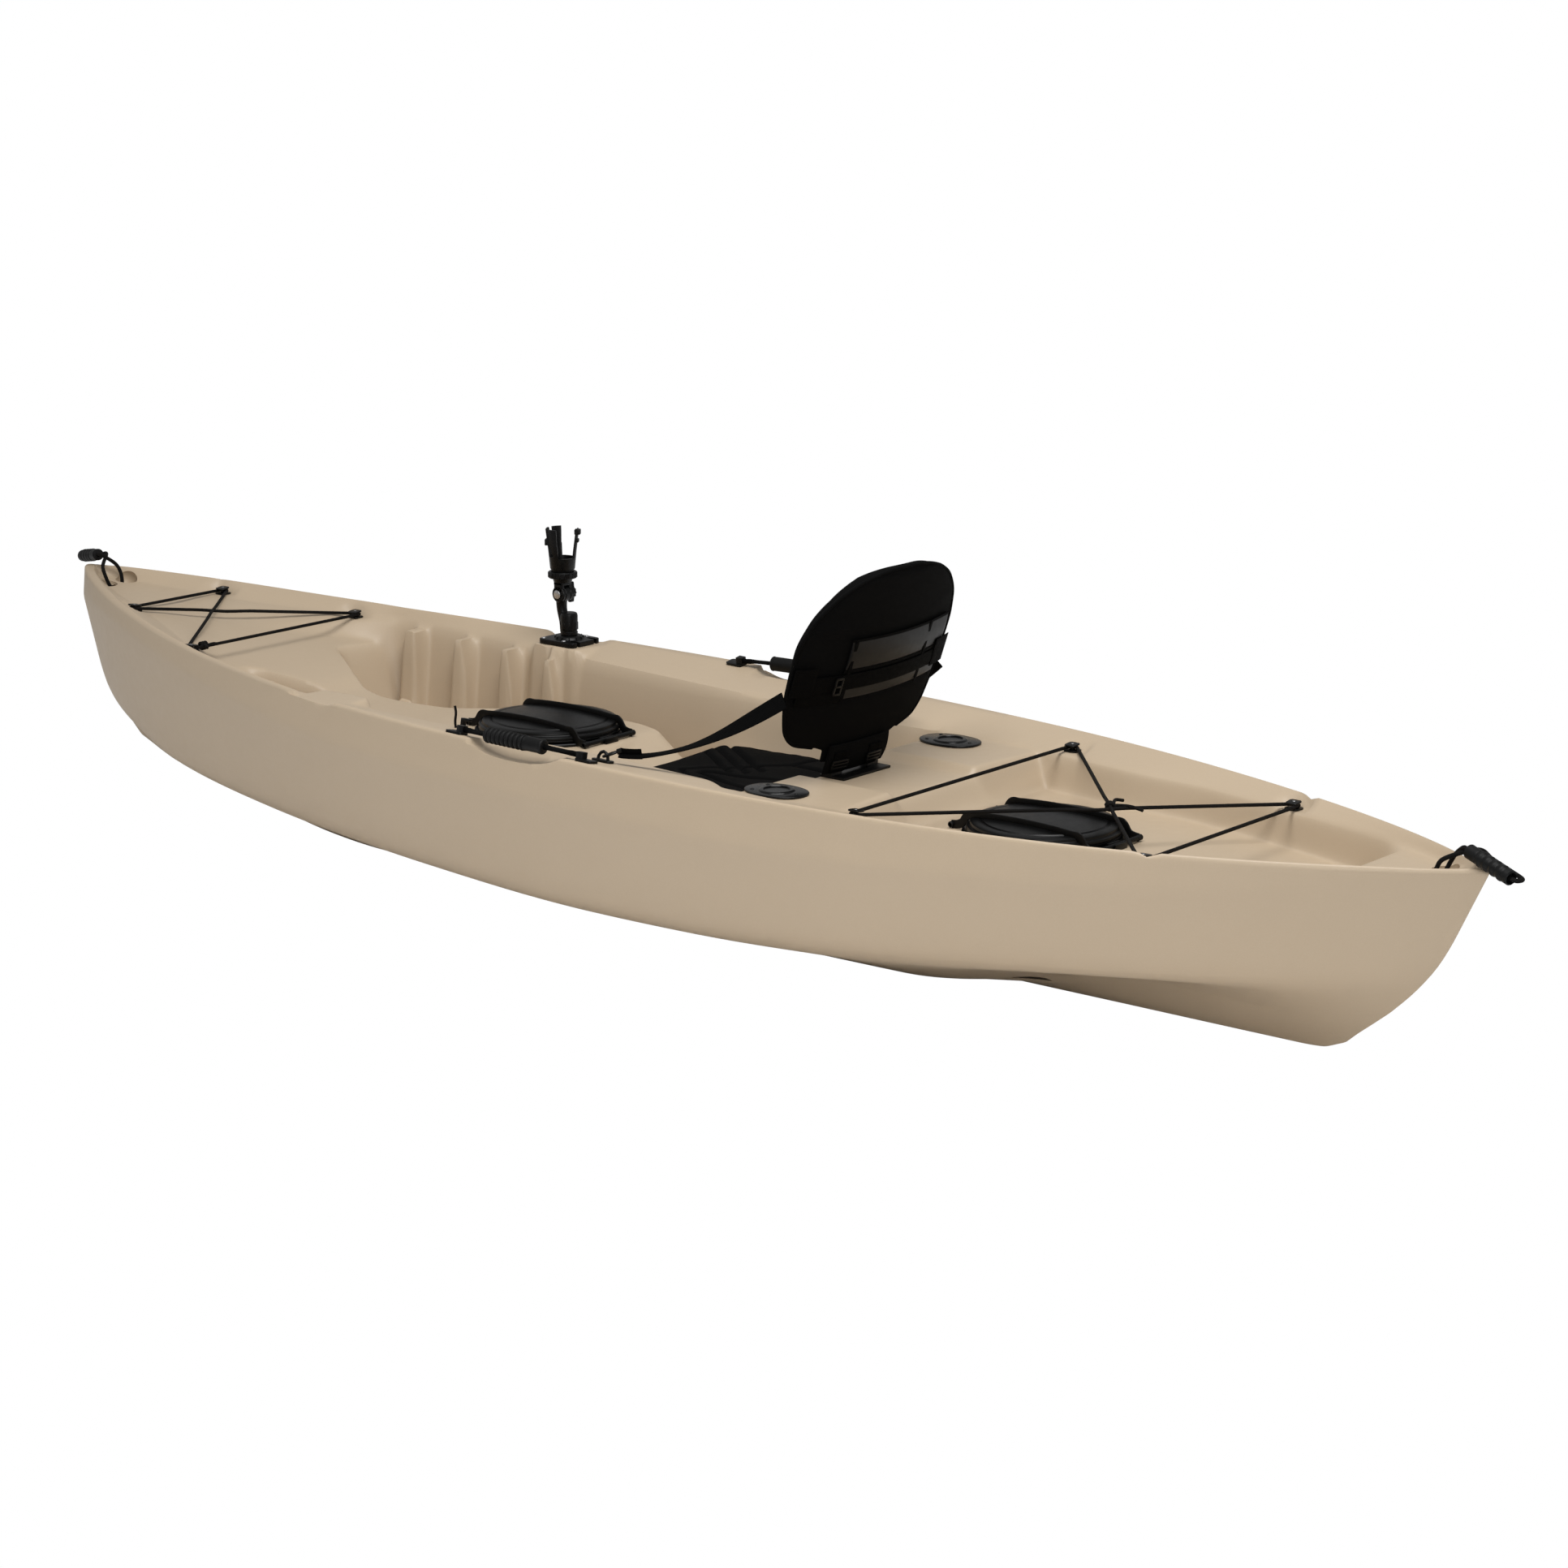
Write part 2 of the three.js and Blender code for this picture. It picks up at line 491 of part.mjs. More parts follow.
// Clips stand in shallow scoops along the gunwales
const clipList = ['stern', 'bow'].flatMap((end) => ['front', 'rear'].flatMap((which) => {
  const { x, y } = placed(placeShares[`${end}${which === 'front' ? 'Front' : 'Rear'}`]);
  return [-1, 1].map((side) => ({
    end, x, y: side * y, z: deckHeight(x, y - clip.base) - clip.sink,
    name: `${side < 0 ? 'port' : 'starboard'}_${end}_${which}_clip`,
  }));
}));

function clipScoop({ x, y, z }, grown = 0) {
  const side = (scoopHalf + grown) * 2;
  const inward = -Math.sign(y) * scoopHalf / 2;
  return solid(plate(roundedOutline(side, side, side / 4), hullDepth, 1)
    .translate(x, y + inward, z - grown));
}

function hatchPad({ x, pad }) {
  const radius = hatch.flange + hatch.padMargin;
  return solid(turned([[0, pad - padDeep], [radius + hatch.padSlope, pad - padDeep], [radius, pad],
    [0, pad]], 24)).translate([x, 0, 0]);
}

function hatchClear({ x, pad }, grown = 0) {
  const radius = hatch.flange + hatch.padMargin + grown;
  return solid(turned([[0, pad - grown], [radius, pad - grown], [radius + overrun + grown, pad + overrun],
    [0, pad + overrun]], 24)).translate([x, 0, 0]);
}

const hatchOpening = ({ x, pad }) => solid(rod(point(x, 0, pad - 2 * overrun),
  point(x, 0, pad + overrun), hatch.opening + 2 * gap, 24));

function fingerRecess(side, grown = 0) {
  const shape = new THREE.SphereGeometry(1, 12, 8);
  shape.scale(fingerScoop.half + grown, fingerScoop.wide + grown, fingerScoop.deep + grown);
  return solid(shape.translate(fingerScoop.x, side * (fingerScoop.y + fingerScoop.outboard),
    sheerHeight(fingerScoop.x)));
}

const scupperPost = (side, radius) => solid(rod(point(scupper.x, side * scupper.y, -overrun),
  point(scupper.x, side * scupper.y, hullDepth), radius, 12));

function rodPad() {
  const { length, width, corner } = rodPlate;
  const outline = roundedOutline(length + 3 * corner, width + corner, corner);
  const room = roundedOutline(length + 4 * corner, width + 2 * corner, corner);
  return { outline, room, place: [rodPlate.x, rodPlate.y, rodPlate.top] };
}

// Each rope runs through a cross hole in a ridge left between two pockets at the tip
const ropeEnd = ({ x }) => ({ x, deck: deckHeight(x, 0), z: deckHeight(x, 0) - toggle.holeDrop });
const bowEnd = ropeEnd(placed(placeShares.bowRope));
const sternEnd = ropeEnd(placed(placeShares.sternRope));

function ropeCut({ x, deck, z }) {
  const hole = rod(point(x, -toggle.pocketOut, z), point(x, toggle.pocketOut, z), toggle.hole, 8);
  const pockets = [-1, 1].map((side) => new THREE.SphereGeometry(toggle.pocket, 10, 6)
    .translate(x, side * toggle.pocketOut, deck));
  return join(hole, ...pockets);
}

function makeHull() {
  let body = solid(skin(stations.map((x) => hullRing(toShare(x), true))));
  const sternTip = box(point(bulkheadShare * halfLength, -halfBeam, 0),
    point(halfLength, halfBeam, hullDepth));
  let hollow = solid(cavity()).subtract(solid(sternTip));
  const { outline, room, place } = rodPad();
  body = body.add(solid(plate(outline, padDeep).translate(place[0], place[1], place[2] - padDeep)));
  body = body.subtract(solid(plate(outline, overrun).translate(...place)));
  hollow = hollow.subtract(solid(plate(room, hullDepth).translate(place[0], place[1], place[2] - wall)));
  [frontHatch, rearHatch].forEach((one) => {
    body = body.add(hatchPad(one)).subtract(hatchClear(one));
    hollow = hollow.subtract(hatchClear(one, wall));
  });
  clipList.forEach((one) => {
    body = body.subtract(clipScoop(one));
    hollow = hollow.subtract(clipScoop(one, wall));
  });
  [-1, 1].forEach((side) => {
    body = body.subtract(fingerRecess(side));
    hollow = hollow.subtract(fingerRecess(side, wall))
      .subtract(scupperPost(side, scupper.radius + scupper.wall));
    const tubeHole = rod(point(rodTube.x, side * rodTube.y, rodTube.deck - overrun),
      point(rodTube.x, side * rodTube.y, rodTube.deck + overrun), rodTube.bore + rodTube.wall + gap, 16);
    body = body.subtract(solid(tubeHole));
  });
  hollow = hollow.decompose().reduce((best, one) => (one.volume() > best.volume() ? one : best));
  body = body.subtract(hollow);
  [frontHatch, rearHatch].forEach((one) => {
    body = body.subtract(hatchOpening(one));
  });
  [-1, 1].forEach((side) => {
    body = body.subtract(scupperPost(side, scupper.radius));
  });
  [bowEnd, sternEnd].forEach((one) => {
    body = body.subtract(ropeCut(one));
  });
  return body;
}

const hullBody = makeHull();
const hullMesh = add('hull', hullBody, sand);

// A frame on the skin at x, y: its Z axis is the skin's normal and its origin clears the skin
const caster = new THREE.Raycaster();
function skinPoint(x, y) {
  caster.set(point(x, y, 2 * hullDepth), point(0, 0, -1));
  return caster.intersectObject(hullMesh)[0].point;
}

function seated(x, y, halfX, halfY) {
  const ends = [[-1, 0], [1, 0], [0, -1], [0, 1]].map(([a, b]) => skinPoint(x + a * halfX, y + b * halfY));
  const normal = ends[1].clone().sub(ends[0]).cross(ends[3].clone().sub(ends[2])).normalize();
  const group = new THREE.Group();
  group.quaternion.setFromUnitVectors(point(0, 0, 1), normal);
  const middle = skinPoint(x, y);
  const heights = [[0, 0], [-1, -1], [1, -1], [-1, 1], [1, 1], [-1, 0], [1, 0], [0, -1], [0, 1]]
    .map(([a, b]) => skinPoint(x + a * halfX, y + b * halfY).sub(middle).dot(normal));
  group.position.copy(middle.addScaledVector(normal, Math.max(...heights) + gap));
  kayak.add(group);
  return group;
}

const at = (x, y, z) => {
  const group = new THREE.Group();
  group.position.set(x, y, z);
  kayak.add(group);
  return group;
};

// Hatches: a bolted rim, a seal, a domed lid and a loop of two straps hooked at both ends
const lidTop = (radius) => lerp(hatch.crown, hatch.stepTop, (radius / hatch.lidStep) ** 2);

function addHatch(name, { x, pad }) {
  const frame = at(x, 0, pad);
  const { barRadius, barOut, lugHalf, lugWall, flange, flangeThick, skirtBottom } = hatch;
  const inner = hatch.opening - hatch.neck;
  const upstand = hatch.skirtInner - hatch.neck;
  const slot = barRadius + runningGap;
  let rim = solid(turned([[inner, -hatch.neckDepth], [hatch.opening, -hatch.neckDepth], [hatch.opening, gap],
    [flange, gap], [flange, gap + flangeThick], [upstand, gap + flangeThick], [upstand, hatch.lipTop],
    [inner, hatch.lipTop], [inner, -hatch.neckDepth]], 24));
  [-1, 1].forEach((side) => {
    const from = side * (flange - lugWall);
    const to = side * (barOut + slot + lugWall);
    rim = rim.add(solid(box(point(Math.min(from, to), -lugHalf, gap),
      point(Math.max(from, to), lugHalf, skirtBottom + barRadius))));
    rim = rim.subtract(solid(rod(point(side * barOut, -lugHalf * 2, skirtBottom),
      point(side * barOut, lugHalf * 2, skirtBottom), slot, 8)));
    rim = rim.subtract(solid(box(point(side * barOut - slot, -lugHalf * 2, skirtBottom),
      point(side * barOut + slot, lugHalf * 2, skirtBottom + overrun))));
  });
  add(`${name}_hatch_rim`, rim, blackPlastic, frame);

  const sealLow = hatch.lipTop + gap;
  const sealHigh = sealLow + hatch.sealThick;
  add(`${name}_hatch_seal`, turned([[inner + gap, sealLow], [upstand - gap, sealLow],
    [upstand - gap, sealHigh], [inner + gap, sealHigh], [inner + gap, sealLow]], 24), softRubber, frame);

  const under = sealHigh + gap;
  const shoulder = lidShares.shoulder * hatch.lidStep;
  add(`${name}_hatch_lid`, turned([[0, under], [hatch.skirtInner, under], [hatch.skirtInner, skirtBottom],
    [hatch.lid, skirtBottom], [hatch.lid, hatch.stepBottom], [hatch.lidStep, hatch.stepBottom + gap],
    [hatch.lidStep, hatch.stepTop], [shoulder, lidTop(shoulder)], [0, hatch.crown]], 24),
  blackPlastic, frame);

  const clearOf = (radius) => lidTop(radius) + gap + hatch.strapThick / 2;
  const reach = hatch.lidStep - hatch.strapThick;
  const half = [[barOut, skirtBottom], [hatch.lid + gap, (skirtBottom + hatch.stepBottom) / 2],
    [reach, hatch.stepTop - gap], [reach - 2 * hatch.strapThick, hatch.stepTop + hatch.strapThick],
    [reach * lidShares.shoulder, clearOf(hatch.lidStep * lidShares.strapShoulder)],
    [0, clearOf(hatch.strapOut * lidShares.strapMiddle)]];
  const outline = [...half, ...half.slice(0, -1).reverse().map(([a, b]) => [-a, b])];
  const straps = [-1, 1].map((side) => sweep(outline.map(([a, b]) => point(a, side * hatch.strapOut, b)),
    () => band(hatch.strapWidth, hatch.strapThick), point(0, 1, 0)));
  const bars = [-1, 1].map((side) => rod(point(side * barOut, -hatch.barHalf, skirtBottom),
    point(side * barOut, hatch.barHalf, skirtBottom), barRadius, 8));
  add(`${name}_hatch_strap_loop`, join(bars[0], ...straps, bars[1]), softRubber, frame);
}

addHatch('front', frontHatch);
addHatch('rear', rearHatch);

// Seat cushion: crowned, dished between raised sides, with channels that meet at the front
const cushionHalfShares = [[0, 0.36], [0.06, 0.62], [0.14, 0.8], [0.26, 0.93], [0.45, 1], [0.8, 0.98],
  [0.93, 0.92], [1, 0.8]];
const cushionAcrossShares = [-1, -0.97, -0.86, -0.68, -0.64, -0.6, -0.44, -0.32, -0.28, -0.24, -0.1];
const cushionRowShares = [0, 0.05, 0.12, 0.22, 0.34, 0.48, 0.62, 0.76, 0.88, 0.95, 1];
const cushionChannelShares = [0.64, 0.28];
const cushionBaseShares = [0.94, 0.4, -0.4, -0.94];
const cushionFormShares = { seam: 0.04, endHeight: 0.55, endRun: 0.12, sideHeight: 0.4 };

function addCushion() {
  const { crown, channel, lift } = cushion;
  const [front, rear] = [seatPan.front + cushion.frontClear, plateau.front - cushion.rearClear];
  const half = seatPan.half - cushion.sideClear;
  const { seam, endHeight, endRun, sideHeight } = cushionFormShares;
  const across = [...cushionAcrossShares, 0, ...cushionAcrossShares.slice().reverse().map((s) => -s)];
  const rings = cushionRowShares.map((share) => {
    const x = lerp(front, rear, share);
    const width = half * follow(cushionHalfShares, share);
    const ends = Math.min(share, 1 - share);
    const full = lerp(endHeight, 1, Math.sin(Math.PI / 2 * clamp(ends / endRun, 0, 1)));
    const top = across.map((s) => {
      const side = lerp(sideHeight, 1, Math.sqrt(1 - Math.abs(s) ** 6));
      const inSeam = cushionChannelShares.some((c) => Math.abs(Math.abs(s) - c) < seam / 2);
      const height = (crown + lift * Math.abs(s) ** 3) * side * full - (inSeam ? channel : 0);
      return point(x, width * s, height);
    });
    const bottom = cushionBaseShares.map((s) => point(x, width * s, 0));
    return [...top, ...bottom];
  });
  add('seat_cushion', skin(rings), fabric, at(0, 0, seatPan.level + gap));
}
addCushion();

// Backrest: a hinge on the deck, a curved shell with its neck, a pad and a lumbar band
const backHalfShares = [[0, 0.4], [0.1, 0.42], [0.13, 0.6], [0.17, 0.8], [0.25, 0.92], [0.41, 0.985],
  [0.6, 1], [0.74, 0.93], [0.87, 0.74], [0.95, 0.5], [1, 0.2]];
const backRowShares = [0.13, 0.18, 0.25, 0.36, 0.5, 0.64, 0.77, 0.87, 0.95, 1];
const neckRowShares = [0.08, 0.105];
const backAcrossShares = [-1, -0.92, -0.7, -0.35, 0, 0.35, 0.7, 0.92, 1];
const backFormShares = { endThick: 0.3, sideThick: 0.25 };
const backHinge = { x: placed(placeShares.backHinge).x, z: plateau.level + back.hingeRise };
const backFrame = at(backHinge.x, 0, backHinge.z);
backFrame.rotation.y = back.recline;
const wrapAt = (y) => -back.wrap * (y / back.half) ** 2;

function addBackrest() {
  const { height, half, shell, barrel, pinRadius, neckHalf, knuckleSplit, knuckleOut } = back;
  const { x: hingeX, z: hingeZ } = backHinge;
  const bore = pinRadius + runningGap;
  const seat = skinPoint(hingeX + back.plateRear, 0).z + gap;
  const along = (radius, from, to) => rod(point(0, from, 0), point(0, to, 0), radius, 16);
  let hinge = solid(box(point(-back.plateFront, -knuckleOut, seat - hingeZ),
    point(back.plateRear, knuckleOut, seat - hingeZ + back.plateThick)));
  [-1, 1].forEach((side) => {
    const ends = [side * knuckleSplit, side * knuckleOut].sort((a, b) => a - b);
    hinge = hinge.add(solid(along(barrel, ...ends)));
    hinge = hinge.add(solid(box(point(-barrel, ends[0], seat - hingeZ + gap), point(barrel, ends[1], 0))));
  });
  hinge = hinge.subtract(solid(along(bore, -knuckleOut - overrun, knuckleOut + overrun)));
  add('backrest_hinge_base', hinge, blackPlastic, at(hingeX, 0, hingeZ));
  add('backrest_hinge_pin', along(pinRadius, -knuckleOut - back.plateThick, knuckleOut + back.plateThick),
    steel, at(hingeX, 0, hingeZ));

  const neckLow = barrel + 2 * runningGap + shell / 2;
  const rows = [neckLow / height, ...neckRowShares, ...backRowShares];
  const shellRings = rows.map((share) => {
    const width = half * follow(backHalfShares, share);
    const face = (out) => backAcrossShares
      .map((s) => point(wrapAt(width * s) + out, width * s, height * share));
    return [...face(-shell / 2), ...face(shell / 2).reverse()];
  });
  const inside = knuckleSplit - runningGap;
  let shellBody = join(skin(shellRings), along(barrel, -inside, inside),
    box(point(-shell / 2, -inside, 0), point(shell / 2, inside, neckLow + shell)));
  shellBody = shellBody.subtract(solid(along(bore, -neckHalf, neckHalf)));
  add('backrest_shell', shellBody, fabric, backFrame);

  const padRings = backRowShares.map((share, i) => {
    const width = half * follow(backHalfShares, share) - back.edge;
    const end = Math.min(i, backRowShares.length - 1 - i);
    const full = lerp(backFormShares.endThick, 1, Math.sin(Math.PI / 2 * clamp(end / 3, 0, 1)));
    const rearX = -shell / 2 - back.padSeat;
    const rear = backAcrossShares.map((s) => point(wrapAt(width * s) + rearX, width * s, height * share));
    const front = backAcrossShares.map((s) => {
      const side = lerp(backFormShares.sideThick, 1, Math.sqrt(1 - Math.abs(s) ** 5));
      return point(wrapAt(width * s) + rearX - back.padThick * side * full, width * s, height * share);
    });
    return [...front, ...rear.reverse()];
  });
  add('backrest_pad', skin(padRings), fabric, backFrame);

  const lumbarRings = Array.from({ length: 13 }, (_, i) => {
    const y = lerp(-lumbar.reach, lumbar.reach, i / 12);
    const x = wrapAt(y) + shell / 2 + lumbar.seat;
    return [[x, lumbar.low], [x + lumbar.thick, lumbar.low], [x + lumbar.thick, lumbar.high],
      [x, lumbar.high]].map(([a, b]) => point(a, y, b));
  });
  add('backrest_lumbar_band', skin(lumbarRings), webbing, backFrame);
}
addBackrest();

// Side straps: a foot on the gunwale, a snap hook and webbing back to the backrest
backFrame.updateMatrixWorld(true);

function addSideStrap(side) {
  const name = side < 0 ? 'port' : 'starboard';
  const foot = seated(strapEye.x, side * strapEye.y, strapEye.length / 2, strapEye.width / 2);
  const { length, width, thick, wire, loop, rise } = strapEye;
  const arch = Array.from({ length: 7 }, (_, i) => {
    const turn = Math.PI * i / 6;
    return point(loop * Math.cos(turn), 0, thick / 2 + rise * Math.sin(turn));
  });
  add(`${name}_strap_eye`, join(plate(roundedOutline(length, width, width / 2 - gap), thick),
    sweep(arch, () => disc(wire, 6), point(0, 1, 0))), blackPlastic, foot);
  foot.updateMatrixWorld(true);
  const top = foot.localToWorld(point(0, 0, thick / 2 + strapEye.hold));
  const tie = backFrame.localToWorld(
    point(wrapAt(back.half), side * (back.half + sideStrap.clear), sideStrap.tieHeight));
  const ahead = tie.clone().sub(top).normalize();
  const ringHalf = hook.ring + hook.wire;
  const ringMiddle = top.clone().addScaledVector(ahead, hook.ring);
  const across = ahead.clone().cross(point(0, 0, 1)).normalize();
  const ring = Array.from({ length: 12 }, (_, i) => {
    const turn = i / 12 * Math.PI * 2;
    return ringMiddle.clone().addScaledVector(ahead, hook.ring * Math.cos(turn))
      .addScaledVector(across, hook.half * Math.sin(turn));
  });
  const stemEnd = ringMiddle.clone().addScaledVector(ahead, ringHalf + hook.stem);
  add(`${name}_strap_hook`, join(sweep(ring, () => disc(hook.wire, 6), across.clone().cross(ahead), true),
    rod(ringMiddle.clone().addScaledVector(ahead, hook.ring), stemEnd, hook.barrel, 10)), blackPlastic);
  const start = stemEnd.clone().addScaledVector(ahead, gap);
  const route = Array.from({ length: 9 }, (_, i) => start.clone().lerp(tie, i / 8)
    .sub(point(0, 0, sideStrap.sag * Math.sin(Math.PI * i / 8))));
  add(`${name}_side_strap`, sweep(route, (t) => band(lerp(sideStrap.endWidth, sideStrap.width,
    smoothstep(t, 0, strapTaperShare)), sideStrap.thick), point(0, 0, 1)), webbing);
}
[-1, 1].forEach(addSideStrap);

// Adjustable rod holder: base, swivelling post, tilting cradle with its knob and lock ring
function addRodHolder() {
  const { x, y, length, width, thick, corner, slot, top } = rodPlate;
  const base = top + gap;
  const { boss, bossHigh, pin, pinHigh, radius, topRadius, stand } = rodPost;
  const round = (profile, sides) => turned(profile, sides).translate(x, y, 0);
  let plateBody = join(plate(roundedOutline(length, width, corner), thick).translate(x, y, base),
    round([[0, base], [boss, base], [boss, base + thick + bossHigh / 2],
      [boss - corner, base + thick + bossHigh], [pin, base + thick + bossHigh],
      [pin, base + thick + bossHigh + pinHigh], [0, base + thick + bossHigh + pinHigh]], 16));
  [-1, 1].forEach((side) => {
    const slotX = x + length / 2 - 2 * slot;
    const slotY = y + side * (width / 2 - 2 * slot);
    plateBody = plateBody.subtract(solid(box(point(slotX, slotY - slot / 2, base - overrun),
      point(x + length, slotY + slot / 2, top + 2 * overrun))));
  });
  add('rod_holder_base', plateBody, blackPlastic);

  const low = base + thick + bossHigh + gap;
  const elbow = point(x - rodArm.fore, y, top + rodArm.rise);
  const socket = pin + runningGap;
  const deep = pinHigh + runningGap;
  let post = join(round([[socket, low], [radius, low], [radius, low + stand],
    [topRadius, low + stand + corner],
    [0, low + stand + corner], [0, low + deep], [socket, low + deep], [socket, low]], 16));
  post = post.add(solid(rod(point(x, y, low + deep + rodPost.radius / 2), elbow, topRadius, 10)));
  const jaw = (from, to, reach = rodArm.jaw) => rod(point(elbow.x, y + from, elbow.z),
    point(elbow.x, y + to, elbow.z), reach, 14);
  const clear = rodArm.jaw + runningGap;
  [-1, 1].forEach((side) => {
    const near = side * rodArm.half;
    post = post.subtract(solid(jaw(near, side * 2 * rodArm.jaw, clear)));
  });
  post = post.add(solid(jaw(-rodArm.half, rodArm.half)));
  post = post.subtract(solid(jaw(-overrun, overrun, rodKnob.boltRadius + runningGap)));
  add('rod_holder_post', post, blackPlastic);

  const [cupLow, cupHigh] = [top + rodCup.lowRise, top + rodCup.highRise];
  const cheek = rodArm.half + runningGap;
  const outer = cheek + rodArm.cheek;
  const webLow = elbow.z + clear + runningGap;
  let cradle = solid(turned([[0, cupLow], [rodCup.low, cupLow], [rodCup.high, cupHigh],
    [rodCup.high - rodCup.wall, cupHigh], [rodCup.low - rodCup.wall, cupLow + rodCup.wall],
    [0, cupLow + rodCup.wall]], 16).translate(elbow.x, y, 0));
  cradle = cradle.add(solid(box(point(elbow.x - topRadius, y - outer, webLow),
    point(elbow.x + topRadius, y + outer, cupLow + rodCup.wall / 2))));
  [-1, 1].forEach((side) => {
    const ends = [side * cheek, side * outer].sort((a, b) => a - b);
    cradle = cradle.add(solid(jaw(...ends)));
    cradle = cradle.add(solid(box(point(elbow.x - topRadius, y + ends[0], elbow.z),
      point(elbow.x + topRadius, y + ends[1], cupLow))));
    const { prongWide, prongThick, hookOut } = rodCup;
    const tip = top + (side < 0 ? rodCup.portProngRise : rodCup.starboardProngRise);
    const root = cupHigh - 2 * prongThick;
    const foot = side * (rodCup.high - prongThick);
    const outline = [[foot, root], [foot + side * prongThick, root],
      [foot + side * prongThick, tip - prongThick], [foot + side * (prongThick + hookOut), tip],
      [foot + side * hookOut, tip + prongThick / 2], [foot, tip - prongThick]];
    const side2d = new THREE.Shape(outline.map(([a, b]) => new THREE.Vector2(a, b)));
    const prong = new THREE.ExtrudeGeometry(side2d, { depth: prongWide, bevelEnabled: false });
    prong.rotateX(Math.PI / 2).translate(0, prongWide / 2, 0).rotateZ(rodCup.turn);
    cradle = cradle.add(solid(prong.translate(elbow.x, y, 0)));
  });
  cradle = cradle.subtract(solid(jaw(-overrun, overrun, rodKnob.boltRadius + runningGap)));
  add('rod_holder_cradle', cradle, blackPlastic);

  const cupAt = (z) => lerp(rodCup.low, rodCup.high, (z - cupLow) / (cupHigh - cupLow)) + runningGap;
  const [ringLow, ringHigh] = [-1, 1].map((end) => top + rodRing.rise + end * rodRing.high / 2);
  add('rod_holder_lock_ring', turned([[cupAt(ringLow), ringLow], [cupAt(ringLow) + rodRing.wall, ringLow],
    [cupAt(ringHigh) + rodRing.wall, ringHigh], [cupAt(ringHigh), ringHigh], [cupAt(ringLow), ringLow]], 16)
    .translate(elbow.x, y, 0), blackPlastic);

  const headFrom = -outer - gap - rodKnob.head;
  const boltEnd = outer + rodKnob.thick - rodKnob.head;
  add('rod_holder_bolt', join(jaw(headFrom, -outer - gap, 2 * rodKnob.boltRadius),
    jaw(headFrom + gap, boltEnd, rodKnob.boltRadius)), steel);
  const knobFrom = outer + gap;
  const knobTo = knobFrom + rodKnob.thick;
  let knob = join(jaw(knobFrom, knobTo, rodKnob.radius), box(
    point(elbow.x - rodKnob.wingThick / 2, y + knobFrom + rodKnob.head, elbow.z - rodKnob.wing),
    point(elbow.x + rodKnob.wingThick / 2, y + knobTo + rodKnob.head, elbow.z + rodKnob.wing)));
  knob = knob.subtract(solid(jaw(0, boltEnd + runningGap, rodKnob.boltRadius + runningGap)));
  add('rod_holder_knob', knob, blackPlastic);
}
addRodHolder();

// Flush rod holders: an oblong flange and a closed tube, held by three screws
function addRodTube(side) {
  const name = side < 0 ? 'port' : 'starboard';
  const frame = at(rodTube.x, side * rodTube.y, rodTube.deck + gap);
  const { bore, wall: tubeWall, depth, flangeLong, flangeWide, thick, screwRadius, screwOut } = rodTube;
  const outline = new THREE.Shape();
  outline.absellipse(0, 0, flangeLong, flangeWide, 0, Math.PI * 2);
  const outside = bore + tubeWall;
  const flat = { depth: thick, bevelEnabled: false, curveSegments: 10 };
  let body = join(new THREE.ExtrudeGeometry(outline, flat),
    rod(point(0, 0, -depth), point(0, 0, thick / 2), outside, 16));
  body = body.subtract(solid(rod(point(0, 0, -depth + tubeWall), point(0, 0, thick + overrun), bore, 16)));
  const screws = screwShares.map(([a, b]) => [a * screwOut, b * screwOut]);
  screws.forEach(([a, b]) => {
    body = body.subtract(solid(rod(point(a, b, -overrun), point(a, b, overrun), screwRadius, 6)));
  });
  add(`${name}_rod_tube`, body, glossPlastic, frame);
}
[-1, 1].forEach(addRodTube);

